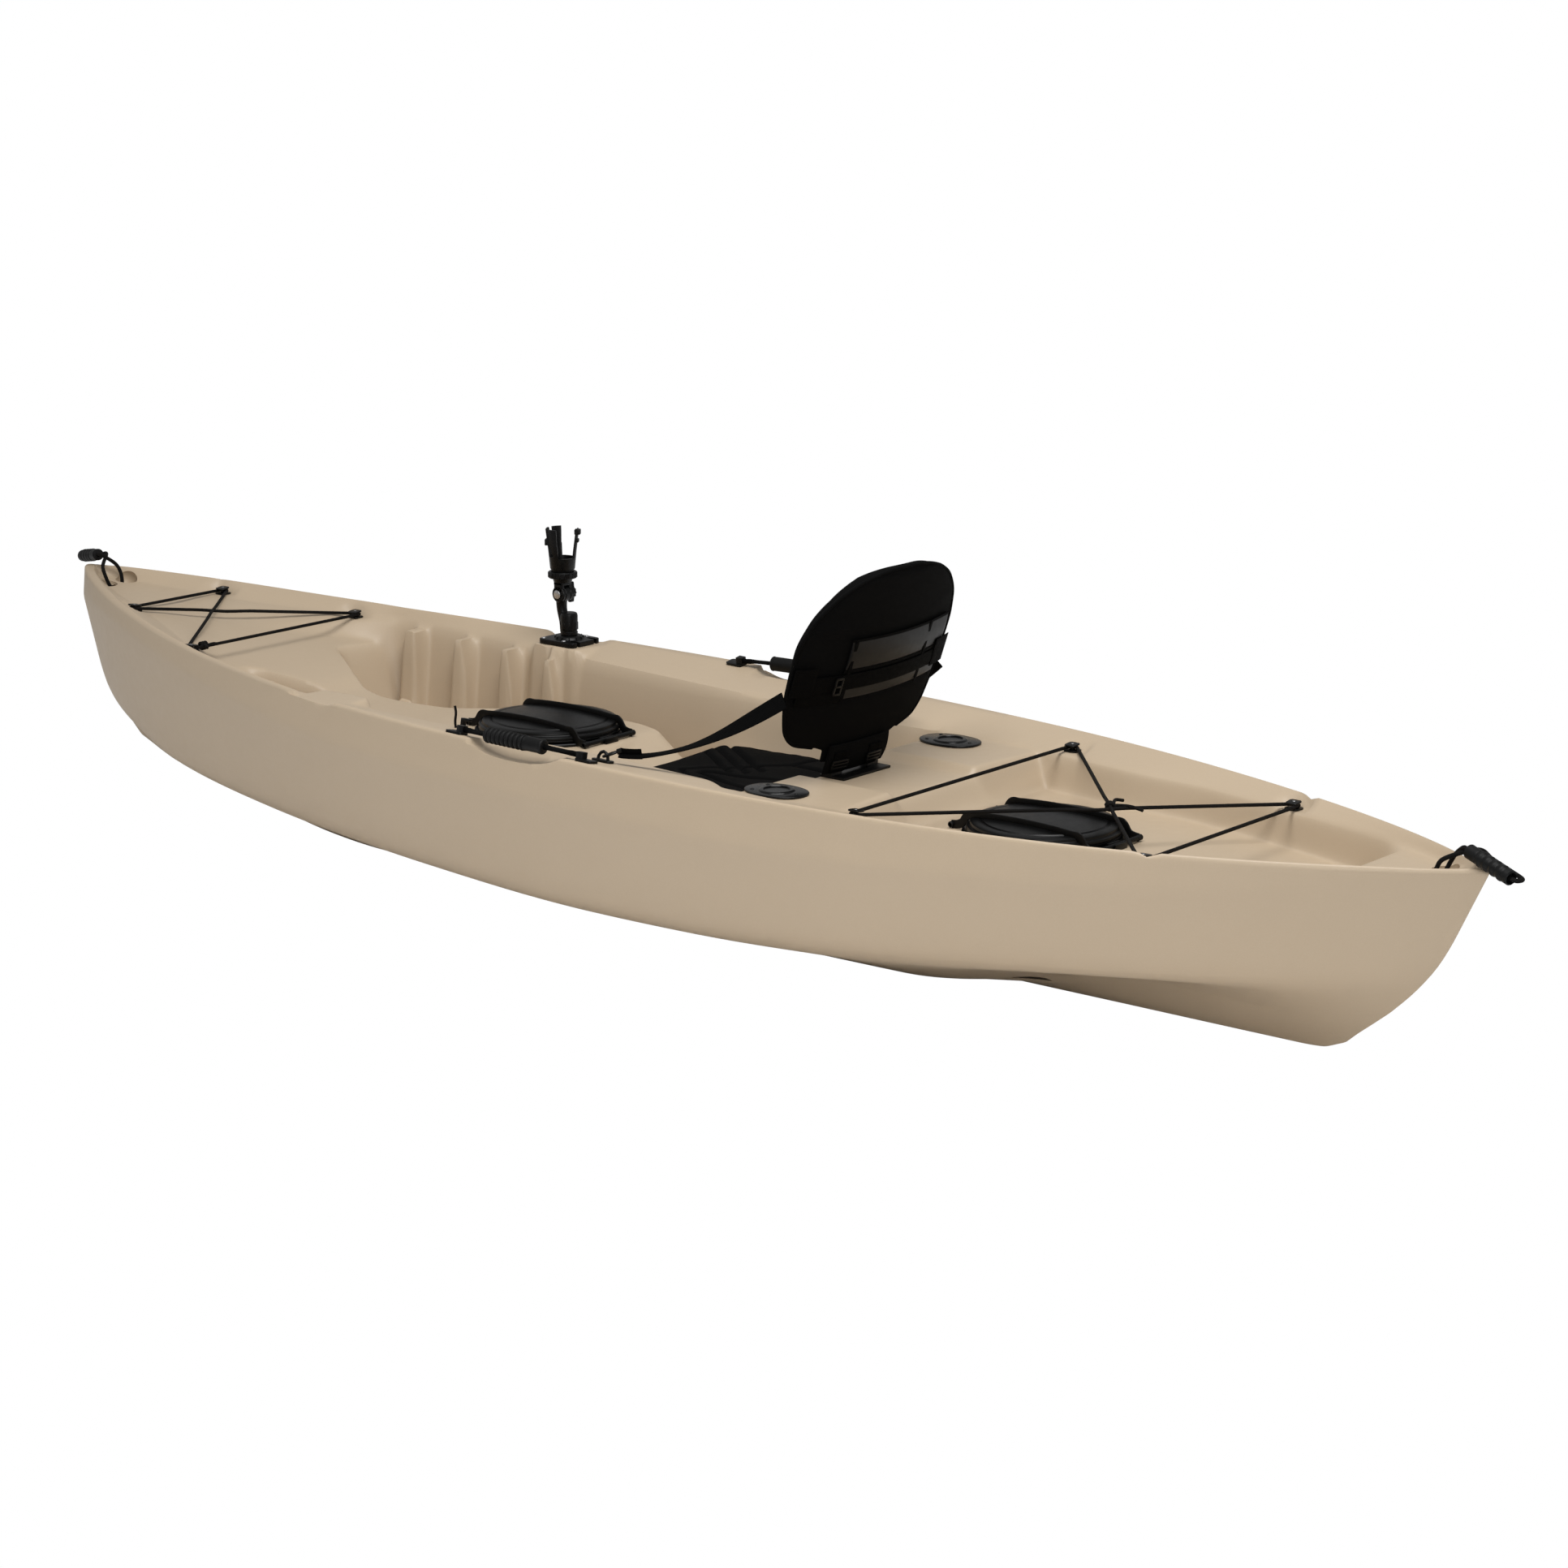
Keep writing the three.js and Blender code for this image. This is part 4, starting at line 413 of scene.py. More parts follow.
hull = dict(
    halfLength=1525, halfBeam=390, depth=400, keelHalf=14, railCentre=90, railHalf=15, channelHalf=45,
    knuckleRise=33, rimInset=10, gunwaleFall=22, consoleSlope=34, plateauBow=14, troughDeep=13,
    troughSlope=18, ribWidth=33, ribProud=46, ribSlope=5, ribDrop=8, ribCount=4, ribFoot=42, footRise=26,
    soften=4.5, slack=0.3,
)
hullShares = dict(
    keel=[[-1, 0.4], [-0.95, 0.27], [-0.905, 0.205], [-0.85, 0.13], [-0.75, 0.055], [-0.65, 0.018],
          [-0.52, 0], [0.8, 0], [0.825, 0.004], [0.845, 0.03], [0.87, 0.07], [0.95, 0.22]],
    chine=[[-1, 0.53], [-0.975, 0.475], [-0.91, 0.39], [-0.82, 0.322], [-0.73, 0.265], [-0.51, 0.225],
           [-0.22, 0.178], [0.03, 0.148], [0.17, 0.153], [0.31, 0.173], [0.43, 0.2], [0.585, 0.242],
           [0.755, 0.283], [0.845, 0.308], [0.915, 0.35], [0.96, 0.41]],
    sheer=[[-1, 1.03], [-0.9, 0.985], [-0.67, 0.91], [-0.333, 0.853], [0, 0.832], [0.333, 0.815],
           [0.67, 0.805], [1, 0.82]],
    creaseDrop=[[-1, 0.16], [-0.93, 0.1], [-0.8, 0.088], [-0.6, 0.12], [-0.3, 0.175], [0.35, 0.195],
                [0.5, 0.178], [0.67, 0.152], [0.83, 0.118], [0.93, 0.085], [1, 0.09]],
    wellEdge=[[-1, 0.6], [-0.83, 0.66], [-0.67, 0.86], [-0.61, 0.945], [-0.49, 0.915], [-0.29, 0.765],
              [-0.1, 0.69], [0, 0.66], [0.16, 0.675], [0.22, 0.75], [0.3, 0.77], [0.46, 0.77],
              [0.59, 0.835], [0.71, 0.84], [0.83, 0.86], [1, 0.8]],
    consoleHalf=[[-0.66, 0.3], [-0.62, 0.25], [-0.59, 0.19], [-0.56, 0.13], [-0.53, 0.1], [-0.49, 0.1],
                 [-0.43, 0.13], [-0.36, 0.19], [-0.31, 0.28], [-0.26, 0.37], [-0.21, 0.385], [-0.16, 0.375],
                 [-0.12, 0.33], [-0.08, 0.3], [0.1, 0.3], [0.19, 0.252]],
    consoleTop=[[-1, 0.99], [-0.95, 0.96], [-0.79, 0.868], [-0.69, 0.795], [-0.62, 0.738], [-0.59, 0.712],
                [-0.56, 0.68], [-0.535, 0.635], [-0.5, 0.612], [-0.42, 0.608], [-0.36, 0.626], [-0.31, 0.638],
                [-0.125, 0.638], [-0.1, 0.6], [-0.072, 0.53], [-0.058, 0.5125]],
    footwell=[[-0.62, 0.44], [-0.52, 0.38], [-0.4, 0.315], [-0.28, 0.29], [-0.2, 0.3], [-0.13, 0.345],
              [-0.09, 0.44], [-0.056, 0.5125]],
    wallRun=[[-0.86, 1], [-0.72, 0.75], [-0.66, 0.3], [-0.6, 0.14], [-0.1, 0.14], [0, 0.13], [0.17, 0.1],
             [0.22, 0.02], [0.33, 0.02], [0.38, 0.1], [0.83, 0.1], [0.93, 0.6], [1, 1]],
    sternDeck=[[0, 0.6], [1, 1]],
    riseStations=[-0.72, -0.42, 0.35, 0.62, 0.88],
    deckEnds=[-0.992, 0.994], rimEnds=[-1.01, 1], creaseEnds=[-1.014, 0.992], knuckleEnds=[-0.988, 0.963],
    creaseWidth=1.007, rimWidth=0.985, knuckleWidth=0.9, troughHalf=0.25128, seatFront=-0.05508,
    seatHalf=0.56923, seatLevel=0.5125,
    plateau=0.75, plateauFront=0.19148, plateauCrest=0.21902, plateauRear=0.334, plateauFoot=0.365,
    tankLevel=0.6125, tankRear=0.81443, tankTop=0.88525, footCentre=-0.64, footSide=-0.6216,
    footRun=0.035, footFrom=0.24359, footTo=0.60256, ribFirst=-0.57574, ribPitch=0.07344,
    planPower=(2.1, 2.5), planRound=(0.82, 0.9),
)
# the bottom's lines from the keel out: end shares, width, share of the beam, rise shares at riseStations
hullLines = [
    ([-0.905, 0.845], 0, 0, [0, 0, 0, 0, 0]),
    ([-0.915, 0.852], hull["keelHalf"], 0, [0, 0, 0, 0, 0]),
    ([-0.925, 0.864], hull["channelHalf"], 0, [0.12, 0.13, 0.13, 0.16, 0.08]),
    ([-0.938, 0.88], hull["railCentre"] - hull["railHalf"], 0, [0.28, 0, 0, 0.4, 0.18]),
    ([-0.95, 0.9], hull["railCentre"] + hull["railHalf"], 0, [0.42, 0, 0, 0.65, 0.32]),
    ([-0.963, 0.925], 0, 0.44, [0.66, 0.37, 0.37, 0.88, 0.6]),
    ([-0.978, 0.948], 0, 0.8, [1, 1, 1, 1, 1]),
]
halfLength, halfBeam, hullDepth = hull["halfLength"], hull["halfBeam"], hull["depth"]


def mix(first, second, share):
    return first + (second - first) * share


def ease(value, low, high):
    s = np.clip((value - low) / (high - low), 0, 1)
    return s * s * (3 - 2 * s)


def follow(table, at):
    # the smooth line through a table of [place, value] pairs
    places, values = np.array(hullShares[table] if isinstance(table, str) else table, float).T
    at = np.clip(at, places[0], places[-1])
    i = np.clip(np.searchsorted(places, at) - 1, 0, len(places) - 2)
    slopes = np.diff(values) / np.diff(places)
    before, after = slopes[:-1], slopes[1:]
    same = before * after > 0
    inner = np.where(same, 2 * before * after / np.where(same, before + after, 1), 0)
    tangents = np.concatenate([slopes[:1], inner, slopes[-1:]])
    span = places[i + 1] - places[i]
    s = (at - places[i]) / span
    bend = span * s * (1 - s) * ((1 - s) * tangents[i] - s * tangents[i + 1])
    return mix(values[i], values[i + 1], s * s * (3 - 2 * s)) + bend


def planShare(x, ends):
    # the half breadth seen from above, from 1 amidships to 0 at either end; the bow's value comes first
    fore = x < 0
    u = np.clip(x / (np.where(fore, ends[0], ends[1]) * halfLength), 0, 1)
    power, rounded = (np.where(fore, *hullShares[name]) for name in ("planPower", "planRound"))
    return np.maximum(1 - u ** power, 0) ** rounded


def sheerHeight(x):
    return hullDepth * follow("sheer", x / halfLength)


def rimHalf(x):
    return (halfBeam - hull["rimInset"]) * planShare(x, hullShares["deckEnds"])


def wellEdge(x):
    return rimHalf(x) * follow("wellEdge", x / halfLength)


def ribPlaces():
    return (hullShares["ribFirst"] + np.arange(hull["ribCount"]) * hullShares["ribPitch"]) * halfLength


def floorHeight(x, y):
    s, across, beam = x / halfLength, abs(y), abs(y) / halfBeam
    h = hullShares
    troughHalf = h["troughHalf"] * halfBeam
    trough = hull["troughDeep"] * (1 - ease(across, troughHalf, troughHalf + hull["troughSlope"]))
    console = hullDepth * follow("consoleTop", s)
    half = halfBeam * follow("consoleHalf", s)
    toFloor = ease(across, half, half + hull["consoleSlope"])
    toSide = np.clip((beam - h["footFrom"]) / (h["footTo"] - h["footFrom"]), 0, 1)
    front = mix(h["footCentre"], h["footSide"], toSide)
    footwell = mix(console, hullDepth * follow("footwell", s), toFloor * ease(s, front, front + h["footRun"]))
    plateau = h["plateau"] * hullDepth - trough
    seat = mix(h["seatLevel"] * hullDepth, plateau, ease(s, h["plateauFront"], h["plateauCrest"]))
    tankFront = h["plateauRear"] * halfLength + hull["plateauBow"] * (beam / h["seatHalf"]) ** 2
    toTank = ease(x, tankFront, tankFront + (h["plateauFoot"] - h["plateauRear"]) * halfLength)
    sternDeck = sheerHeight(x) - hull["gunwaleFall"] * follow("sternDeck", planShare(x, h["deckEnds"]))
    toDeck = ease(s, h["tankRear"], h["tankTop"])
    tank = mix(mix(plateau, h["tankLevel"] * hullDepth, toTank), sternDeck, toDeck)
    return np.where(s < h["seatFront"], footwell, np.where(s < h["plateauRear"], seat, tank))


def ribShare(x, y, edge, longer=0):
    # 1 on a foot rib, falling to 0 beside it; longer reaches further into the footwell
    beside = np.min([abs(x - place) for place in ribPlaces()], axis=0)
    half, slope = hull["ribWidth"] / 2, hull["ribSlope"]
    inward = edge - abs(y)
    reach = hull["ribProud"] + longer
    return (1 - ease(beside, half - slope, half + slope)) * (1 - ease(inward, reach, reach + 2 * slope))


def deckHeight(x, y):
    across, edge, rim, sheer = abs(y), wellEdge(x), rimHalf(x), sheerHeight(x)
    edgeLevel = sheer - hull["gunwaleFall"] * np.clip((rim - edge) / hull["rimInset"], 0, 1)
    gunwale = mix(edgeLevel, sheer, np.clip((across - edge) / (rim - edge + hull["slack"]), 0, 1))
    run = np.maximum(edge * follow("wallRun", x / halfLength), 0.001)
    floor = floorHeight(x, y)
    level = mix(edgeLevel, np.minimum(floor, edgeLevel), ease(edge - across, 0, run))
    well = mix(level, np.maximum(level, edgeLevel - hull["ribDrop"]), ribShare(x, y, edge))
    deepEnough = floor < edgeLevel - hull["footRise"]
    foot = ribShare(x, y, edge, hull["ribFoot"]) * (across < edge) * deepEnough
    well = np.maximum(well, mix(well, floor + hull["footRise"], foot))
    return np.where(across >= edge, gunwale, well)


# recesses and pads moulded into the deck
padSteps = dict(flat=156, slope=12, deep=20, wall=12, flare=20, steep=50)
hatchPlaces = {"front": (-320.0, 255.0), "rear": (740.0, 245.0)}
clipBoxes = {node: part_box(node) for node in nodes if node.endswith("_clip")}
clipSpots = [((low.x + high.x) / 2 / mm, (low.y + high.y) / 2 / mm, low.z / mm - 0.3)
             for low, high in clipBoxes.values()]
clipScoop = dict(half=27, corner=13, wall=7)
fingerScoop = dict(x=-50, y=370, half=104, wide=34, deep=24)
rodPad = dict(x=-552, y=306, halfX=53, halfY=42, corner=8, top=333, wall=18)


def roundedBox(x, y, halfX, halfY, corner):
    # distance outside a rounded rectangle, negative inside
    qx, qy = abs(x) - halfX + corner, abs(y) - halfY + corner
    return np.hypot(np.maximum(qx, 0), np.maximum(qy, 0)) + np.minimum(np.maximum(qx, qy), 0) - corner


def mouldedHeight(x, y):
    z = deckHeight(x, y)
    for centre, pad in hatchPlaces.values():
        radius = np.hypot(x - centre, y)
        out = radius - padSteps["flat"]
        lower = pad - padSteps["deep"] * np.clip(out / padSteps["slope"], 0, 1)
        lower = lower - hullDepth * np.clip((out - padSteps["slope"]) / padSteps["wall"], 0, 1)
        ceiling = pad + np.clip(out, 0, None) * np.where(out < padSteps["flare"], 1, padSteps["steep"])
        z = np.minimum(np.maximum(z, lower), ceiling)
    for cx, cy, level in clipSpots:
        inward = -np.sign(cy) * clipScoop["half"] / 2
        half, corner = clipScoop["half"], clipScoop["corner"]
        outside = roundedBox(x - cx, y - cy - inward, half, half, corner)
        z = np.where(z > level, mix(level, z, ease(outside, -1, clipScoop["wall"])), z)
    pad = rodPad
    outside = roundedBox(x - pad["x"], y - pad["y"], pad["halfX"], pad["halfY"], pad["corner"])
    return mix(pad["top"], z, ease(outside, 0, pad["wall"]))


def scoopHeight(x, y, z):
    scoop = fingerScoop
    inside = 1 - ((x - scoop["x"]) / scoop["half"]) ** 2 - ((abs(y) - scoop["y"]) / scoop["wide"]) ** 2
    bowl = sheerHeight(scoop["x"]) - scoop["deep"] * np.sqrt(np.maximum(inside, 0))
    return np.where(inside > 0, np.minimum(z, bowl), z)


def softened(x, y):
    # the moulding's rounded corners: the height averaged over a small disc
    spread = hull["soften"]
    total, count = mouldedHeight(x, y), 1
    for reach, spokes in ((0.55, 6), (1.0, 10)):
        for turn in np.arange(spokes) * 2 * math.pi / spokes:
            ahead, aside = spread * reach * math.cos(turn), spread * reach * math.sin(turn)
            total = total + mouldedHeight(x + ahead, y + aside)
            count += 1
    return scoopHeight(x, y, total / count)


# how far apart the deck's rows lie, and the reach and step of the closer rows beside each fitting
rowSteps = dict(
    wide=10.5, tip=0.8, tipShare=0.12, rib=(9, 2.6), clip=(36, 3.6), hatch=(20, 4.5), hatchOut=8,
    rodPad=(9, 3), rodPadOut=56, wellFront=(-900, 90, 4), seatRear=(313, 30, 3.5), plateauRear=(533, 40, 3.5),
)


def hullRows():
    # places along the deck: close together where the moulding changes, wider elsewhere
    hatchEdge = padSteps["flat"] + rowSteps["hatchOut"]
    close = [rowSteps[name] for name in ("wellFront", "seatRear", "plateauRear")]
    for side in (-1, 1):
        close += [(rib + side * hull["ribWidth"] / 2, *rowSteps["rib"]) for rib in ribPlaces()]
        close += [(centre + side * hatchEdge, *rowSteps["hatch"]) for centre, _ in hatchPlaces.values()]
        close.append((rodPad["x"] + side * rowSteps["rodPadOut"], *rowSteps["rodPad"]))
    close += [(spot[0], *rowSteps["clip"]) for spot in clipSpots[::2]]
    first, end = (halfLength * share for share in hullShares["deckEnds"])
    places, x = [], first
    while x < end:
        places.append(x)
        tip = min(x - first, end - x)
        steps = [size for middle, half, size in close if abs(x - middle) < half]
        x += min([rowSteps["wide"], rowSteps["tip"] + tip * rowSteps["tipShare"]] + steps)
    return np.array(places + [end])


def roundedLine(points, reaches, inner):
    # rows of a bent line with each corner rounded and inner points on each straight
    points = np.array(points)
    out = [points[0][None]]
    for k in range(1, len(points) - 1):
        before, here, after = points[k - 1], points[k], points[k + 1]
        arms = []
        for other in (before, after):
            length = np.maximum(np.linalg.norm(other - here, axis=-1), 1e-6)[..., None]
            arms.append(here + (other - here) * np.minimum(reaches[k - 1] / length, 0.45))
        bend = [mix(mix(arms[0], here, t), mix(here, arms[1], t), t) for t in (0, 0.33, 0.67, 1)]
        last = out[-1][-1]
        out += [mix(last, bend[0], s)[None] for s in np.arange(1, inner[k - 1] + 1) / (inner[k - 1] + 1)]
        out.append(np.array(bend))
    last = out[-1][-1]
    out += [mix(last, points[-1], s)[None] for s in np.arange(1, inner[-1] + 2) / (inner[-1] + 1)]
    return np.concatenate(out)


# the section's rounded corners and the points between its lines, from the keel up and then across the deck
sectionSteps = dict(
    reaches=[5, 8, 7, 7, 30, 26, 22, 8], sideCounts=[1, 1, 1, 1, 3, 3, 2, 4, 5], rimTurns=[22, 45, 68],
    deckCounts=[6, 9, 3, 4, 5, 5, 8, 10], consoleMost=0.56, consoleFootMost=0.68, wallMost=0.14, ribMost=0.18,
    ribFootMost=0.22,
)


def sideLines(share):
    # the hull's corner lines from the keel up to the rim
    corners = []
    for lineEnds, width, beamShare, rises in hullLines:
        x = halfLength * mix(lineEnds[0], lineEnds[1], share)
        y = (width + beamShare * halfBeam) * planShare(x, lineEnds)
        rise = follow(list(zip(hullShares["riseStations"], rises)), x / halfLength)
        z = hullDepth * mix(follow("keel", x / halfLength), follow("chine", x / halfLength), rise)
        corners.append(np.stack([x, y, z], 1))
    for name in ("knuckle", "crease", "rim"):
        lineEnds = hullShares[f"{name}Ends"]
        x = halfLength * mix(lineEnds[0], lineEnds[1], share)
        y = hullShares[f"{name}Width"] * halfBeam * planShare(x, lineEnds)
        if name == "knuckle":
            z = hullDepth * follow("chine", x / halfLength) + hull["knuckleRise"]
        elif name == "crease":
            z = sheerHeight(x) - hullDepth * follow("creaseDrop", x / halfLength)
        else:
            z = sheerHeight(x) - hull["rimInset"]
        corners.append(np.stack([x, y, z], 1))
    return roundedLine(corners, sectionSteps["reaches"], sectionSteps["sideCounts"])


def deckGrid(deckX):
    # the deck's rows from the rim in to the centre line
    steps = sectionSteps
    rim, edge = rimHalf(deckX), wellEdge(deckX)
    half = np.minimum(halfBeam * follow("consoleHalf", deckX / halfLength), steps["consoleMost"] * edge)
    foot = np.minimum(half + hull["consoleSlope"], steps["consoleFootMost"] * edge)
    run = np.minimum(follow("wallRun", deckX / halfLength), steps["wallMost"]) * edge
    ribFace = edge - np.minimum(hull["ribProud"], steps["ribMost"] * edge)
    ribFoot = edge - np.minimum(hull["ribProud"] + 2 * hull["ribSlope"], steps["ribFootMost"] * edge)
    lines = [rim, edge, edge - run, ribFace, ribFoot, (ribFoot + foot) / 2, foot, half, 0 * half]
    y = [rim]
    for start, stop, count in zip(lines, lines[1:], steps["deckCounts"]):
        y += [mix(start, stop, s) for s in np.arange(1, count + 1) / count]
    y = np.array(y)
    x = np.broadcast_to(deckX, y.shape)
    return np.stack([x, y, softened(x, y)], 2)


def hullSkin():
    deckX = hullRows()
    ends = hullShares["deckEnds"]
    side = sideLines((deckX / halfLength - ends[0]) / (ends[1] - ends[0]))
    deck = deckGrid(deckX)
    low, high = side[-1], deck[0]
    arc = []
    for turn in np.radians(sectionSteps["rimTurns"]):
        flat = mix(high, low, math.cos(turn))
        flat[:, 2] = mix(low[:, 2], high[:, 2], math.sin(turn))
        arc.append(flat)
    ring = np.concatenate([side, arc, deck])
    ring[..., 2] = scoopHeight(ring[..., 0], ring[..., 1], ring[..., 2])
    port = ring[1:-1][::-1] * np.array([1, -1, 1])
    return np.concatenate([ring, port]).transpose(1, 0, 2)


def cutAway(bm, tools):
    # takes the tools' shapes out of a body with one exact Boolean
    body = bpy.data.meshes.new("body")
    bm.to_mesh(body)
    bm.free()
    holder = bpy.data.objects.new("body", body)
    knifeMesh = bpy.data.meshes.new("knife")
    joined(*tools).to_mesh(knifeMesh)
    knife = bpy.data.objects.new("knife", knifeMesh)
    for thing in (holder, knife):
        bpy.context.scene.collection.objects.link(thing)
    cut = holder.modifiers.new("cut", "BOOLEAN")
    cut.operation, cut.solver, cut.object, cut.use_self = "DIFFERENCE", "EXACT", knife, True
    result = bmesh.new()
    result.from_mesh(holder.evaluated_get(bpy.context.evaluated_depsgraph_get()).to_mesh())
    for thing in (holder, knife):
        bpy.data.objects.remove(thing)
    return result


def deckAt(x):
    return float(mouldedHeight(np.array([x]), np.array([0.0]))[0])


hullHoles = dict(
    scupperX=-520, scupperY=172, scupperRadius=13, scupperLow=-60, scupperHigh=330, rodX=381, rodY=231,
    rodDeck=300, rodRadius=24, rodDepth=153, hatchRadius=100.6, neckLow=-25, holdRadius=88, holdShoulder=96,
    holdFloor=30, holdSlope=45, over=20, bowX=-1452, sternX=1440, ropeRadius=4.4, ropeHalf=25, ropeDrop=9,
    pocketRadius=21, pocketOut=25,
)


def cylinder(radius, low, high, steps):
    return turnedMesh([[0, low], [radius, low], [radius, high], [0, high]], steps)


def hullTools():
    # what is cut out of the skin: scuppers, rod sockets, hatch holds, rope holes and their pockets
    hole = hullHoles
    tools = []
    for side in (-1, 1):
        scupper = cylinder(hole["scupperRadius"], hole["scupperLow"], hole["scupperHigh"], 40)
        tools.append(moved(scupper, frameAt((hole["scupperX"], side * hole["scupperY"], 0))))
        socket = cylinder(hole["rodRadius"], -hole["rodDepth"], hole["over"], 40)
        tools.append(moved(socket, frameAt((hole["rodX"], side * hole["rodY"], hole["rodDeck"]))))
    for centre, pad in hatchPlaces.values():
        floor, radius = hole["holdFloor"] - pad, hole["hatchRadius"]
        shoulder = [hole["holdShoulder"], hole["holdSlope"] - pad]
        hold = turnedMesh([[0, floor], [hole["holdRadius"], floor], shoulder, [radius, hole["neckLow"]],
                           [radius, hole["over"]], [0, hole["over"]]], 72)
        tools.append(moved(hold, frameAt((centre, 0, pad))))
    across = Matrix.Rotation(math.pi / 2, 3, "X")
    for x in (hole["bowX"], hole["sternX"]):
        deck = deckAt(x)
        rope = cylinder(hole["ropeRadius"], -hole["ropeHalf"], hole["ropeHalf"], 20)
        tools.append(moved(rope, frameAt((x, 0, deck - hole["ropeDrop"]), across)))
        for side in (-1, 1):
            ball = bmesh.new()
            bmesh.ops.create_uvsphere(ball, u_segments=32, v_segments=18, radius=hole["pocketRadius"] * mm)
            tools.append(moved(ball, frameAt((x, side * hole["pocketOut"], deck))))
    for tool in tools:
        bmesh.ops.recalc_face_normals(tool, faces=tool.faces)
    return tools


skin = gridMesh(hullSkin(), closed=True)
print("hull skin", len(skin.faces), "faces,", sum(edge.is_boundary for edge in skin.edges), "open edges")
skin = cutAway(skin, hullTools())
hullLook = finishPiece("hull_look", skin, "hull", "hull", sharp=38)
print("hull cut", len(hullLook.data.polygons), "faces")


# More shape helpers

def spline(points, count=48, closed=False):
    # a smooth line of evenly spaced points through the given ones
    points = np.array(points, float)
    last = len(points)
    ring = np.concatenate([points[-1:], points, points[:2]]) if closed else \
        np.concatenate([2 * points[:1] - points[1:2], points, 2 * points[-1:] - points[-2:-1]])
    fine = []
    for k in range(last if closed else last - 1):
        before, start, stop, after = ring[k:k + 4]
        for s in np.arange(24) / 24:
            fine.append(0.5 * (2 * start + (stop - before) * s
                               + (2 * before - 5 * start + 4 * stop - after) * s ** 2
                               + (3 * start - before - 3 * stop + after) * s ** 3))
    fine = np.array(fine + ([fine[0]] if closed else [points[-1]]))
    reach = lengthsAlong(fine)
    stops = np.linspace(0, reach[-1], count + closed)[:count]
    return np.stack([np.interp(stops, reach, fine[:, axis]) for axis in range(3)], 1)


def plateMesh(outline, low, high, bevel=0.6, segments=2):
    # a flat plate from an outline in the XY plane, with its edges rounded
    bm = bmesh.new()
    face = bm.faces.new([bm.verts.new((x * mm, y * mm, low * mm)) for x, y in outline])
    grown = bmesh.ops.extrude_face_region(bm, geom=[face])
    verts = [item for item in grown["geom"] if isinstance(item, bmesh.types.BMVert)]
    bmesh.ops.translate(bm, vec=(0, 0, (high - low) * mm), verts=verts)
    bmesh.ops.recalc_face_normals(bm, faces=bm.faces)
    if bevel:
        roundEdges(bm, bevel, segments, 40)
    return bm


def ovalOutline(long, wide, power=2.0, count=40):
    # an oval, squarer as power grows
    turns = np.arange(count) * 2 * math.pi / count
    return [(long * np.sign(math.cos(t)) * abs(math.cos(t)) ** (2 / power),
             wide * np.sign(math.sin(t)) * abs(math.sin(t)) ** (2 / power)) for t in turns]


def rodMesh(start, stop, radius, steps=24, round=0.5):
    # a round bar between two points, its ends slightly rounded
    start, stop = Vector(start), Vector(stop)
    length = (stop - start).length
    bar = turnedMesh([[0, 0], [radius - round, 0], [radius, round], [radius, length - round],
                      [radius - round, length], [0, length]], steps)
    turn = (stop - start).to_track_quat("Z", "Y").to_matrix()
    return moved(bar, frameAt(start, turn))


def screwMesh(radius=2.6, high=1.6):
    # a domed screw head with a cross slot
    head = turnedMesh([[0, 0], [radius, 0], [radius, high * 0.4], [radius * 0.7, high * 0.9], [0, high]], 20)
    slots = [boxMesh((-radius * 0.62, -0.35, high * 0.5), (radius * 0.62, 0.35, high + 0.5)),
             boxMesh((-0.35, -radius * 0.62, high * 0.5), (0.35, radius * 0.62, high + 0.5))]
    return cutAway(head, slots)


def nodeFrame(node):
    # the seat of a fitting on the deck: the CAD node's own placing
    return nodes[node].matrix_world.copy()


# Hatches

lid = dict(
    flange=132, inner=96, upstand=106, lipTop=18, step=119, stepTop=23.5, crown=30, domeFrom=99, off=0.3,
    strapOut=60, strapWide=14, strapThick=3, strapOver=1.9, barOut=138, barHalf=66, barRise=6.5, barRadius=4,
    eyeHalf=6, eyeRadius=4.9, strapTop=(94, 80, 60, 40, 20, 0), lugHalf=16,
    lugs=((128, 133.4, 10.4, 1.0), (142.6, 146, 10.4, 1.0), (130, 146, 2, 0.6)),
)
# radius and height of the lid's skirt, step and rolled edge, from the centre out and back to the dome
lidEdge = [
    [0, 21.6], [108, 21.6], [109.6, 20.8], [110, 19.5], [110, 7.3], [110.8, 6.5], [124, 6.5], [125, 7.6],
    [125, 9.6], [124.2, 10.2], [124.2, 11.2], [125, 11.8], [125, 14.6], [124.3, 16.2], [122.6, 17.1],
    [120, 17.4], [119.2, 18.2], [119, 20.6], [118.2, 22.4], [116.2, 23.4], [106, 24.5], [103.8, 24.4],
    [102.6, 23.7], [101.2, 23.7], [100.2, 24.6],
]
# out and up from the lug's bar to the lid's top
strapSide = [(138, 6.5), (130.5, 7.2), (121.5, 9.6), (116.4, 14), (113.4, 19), (109.6, 23.8), (104.2, 26.6)]


def lidTop(radius):
    return mix(lid["crown"], lid["stepTop"], (radius / lid["step"]) ** 2)


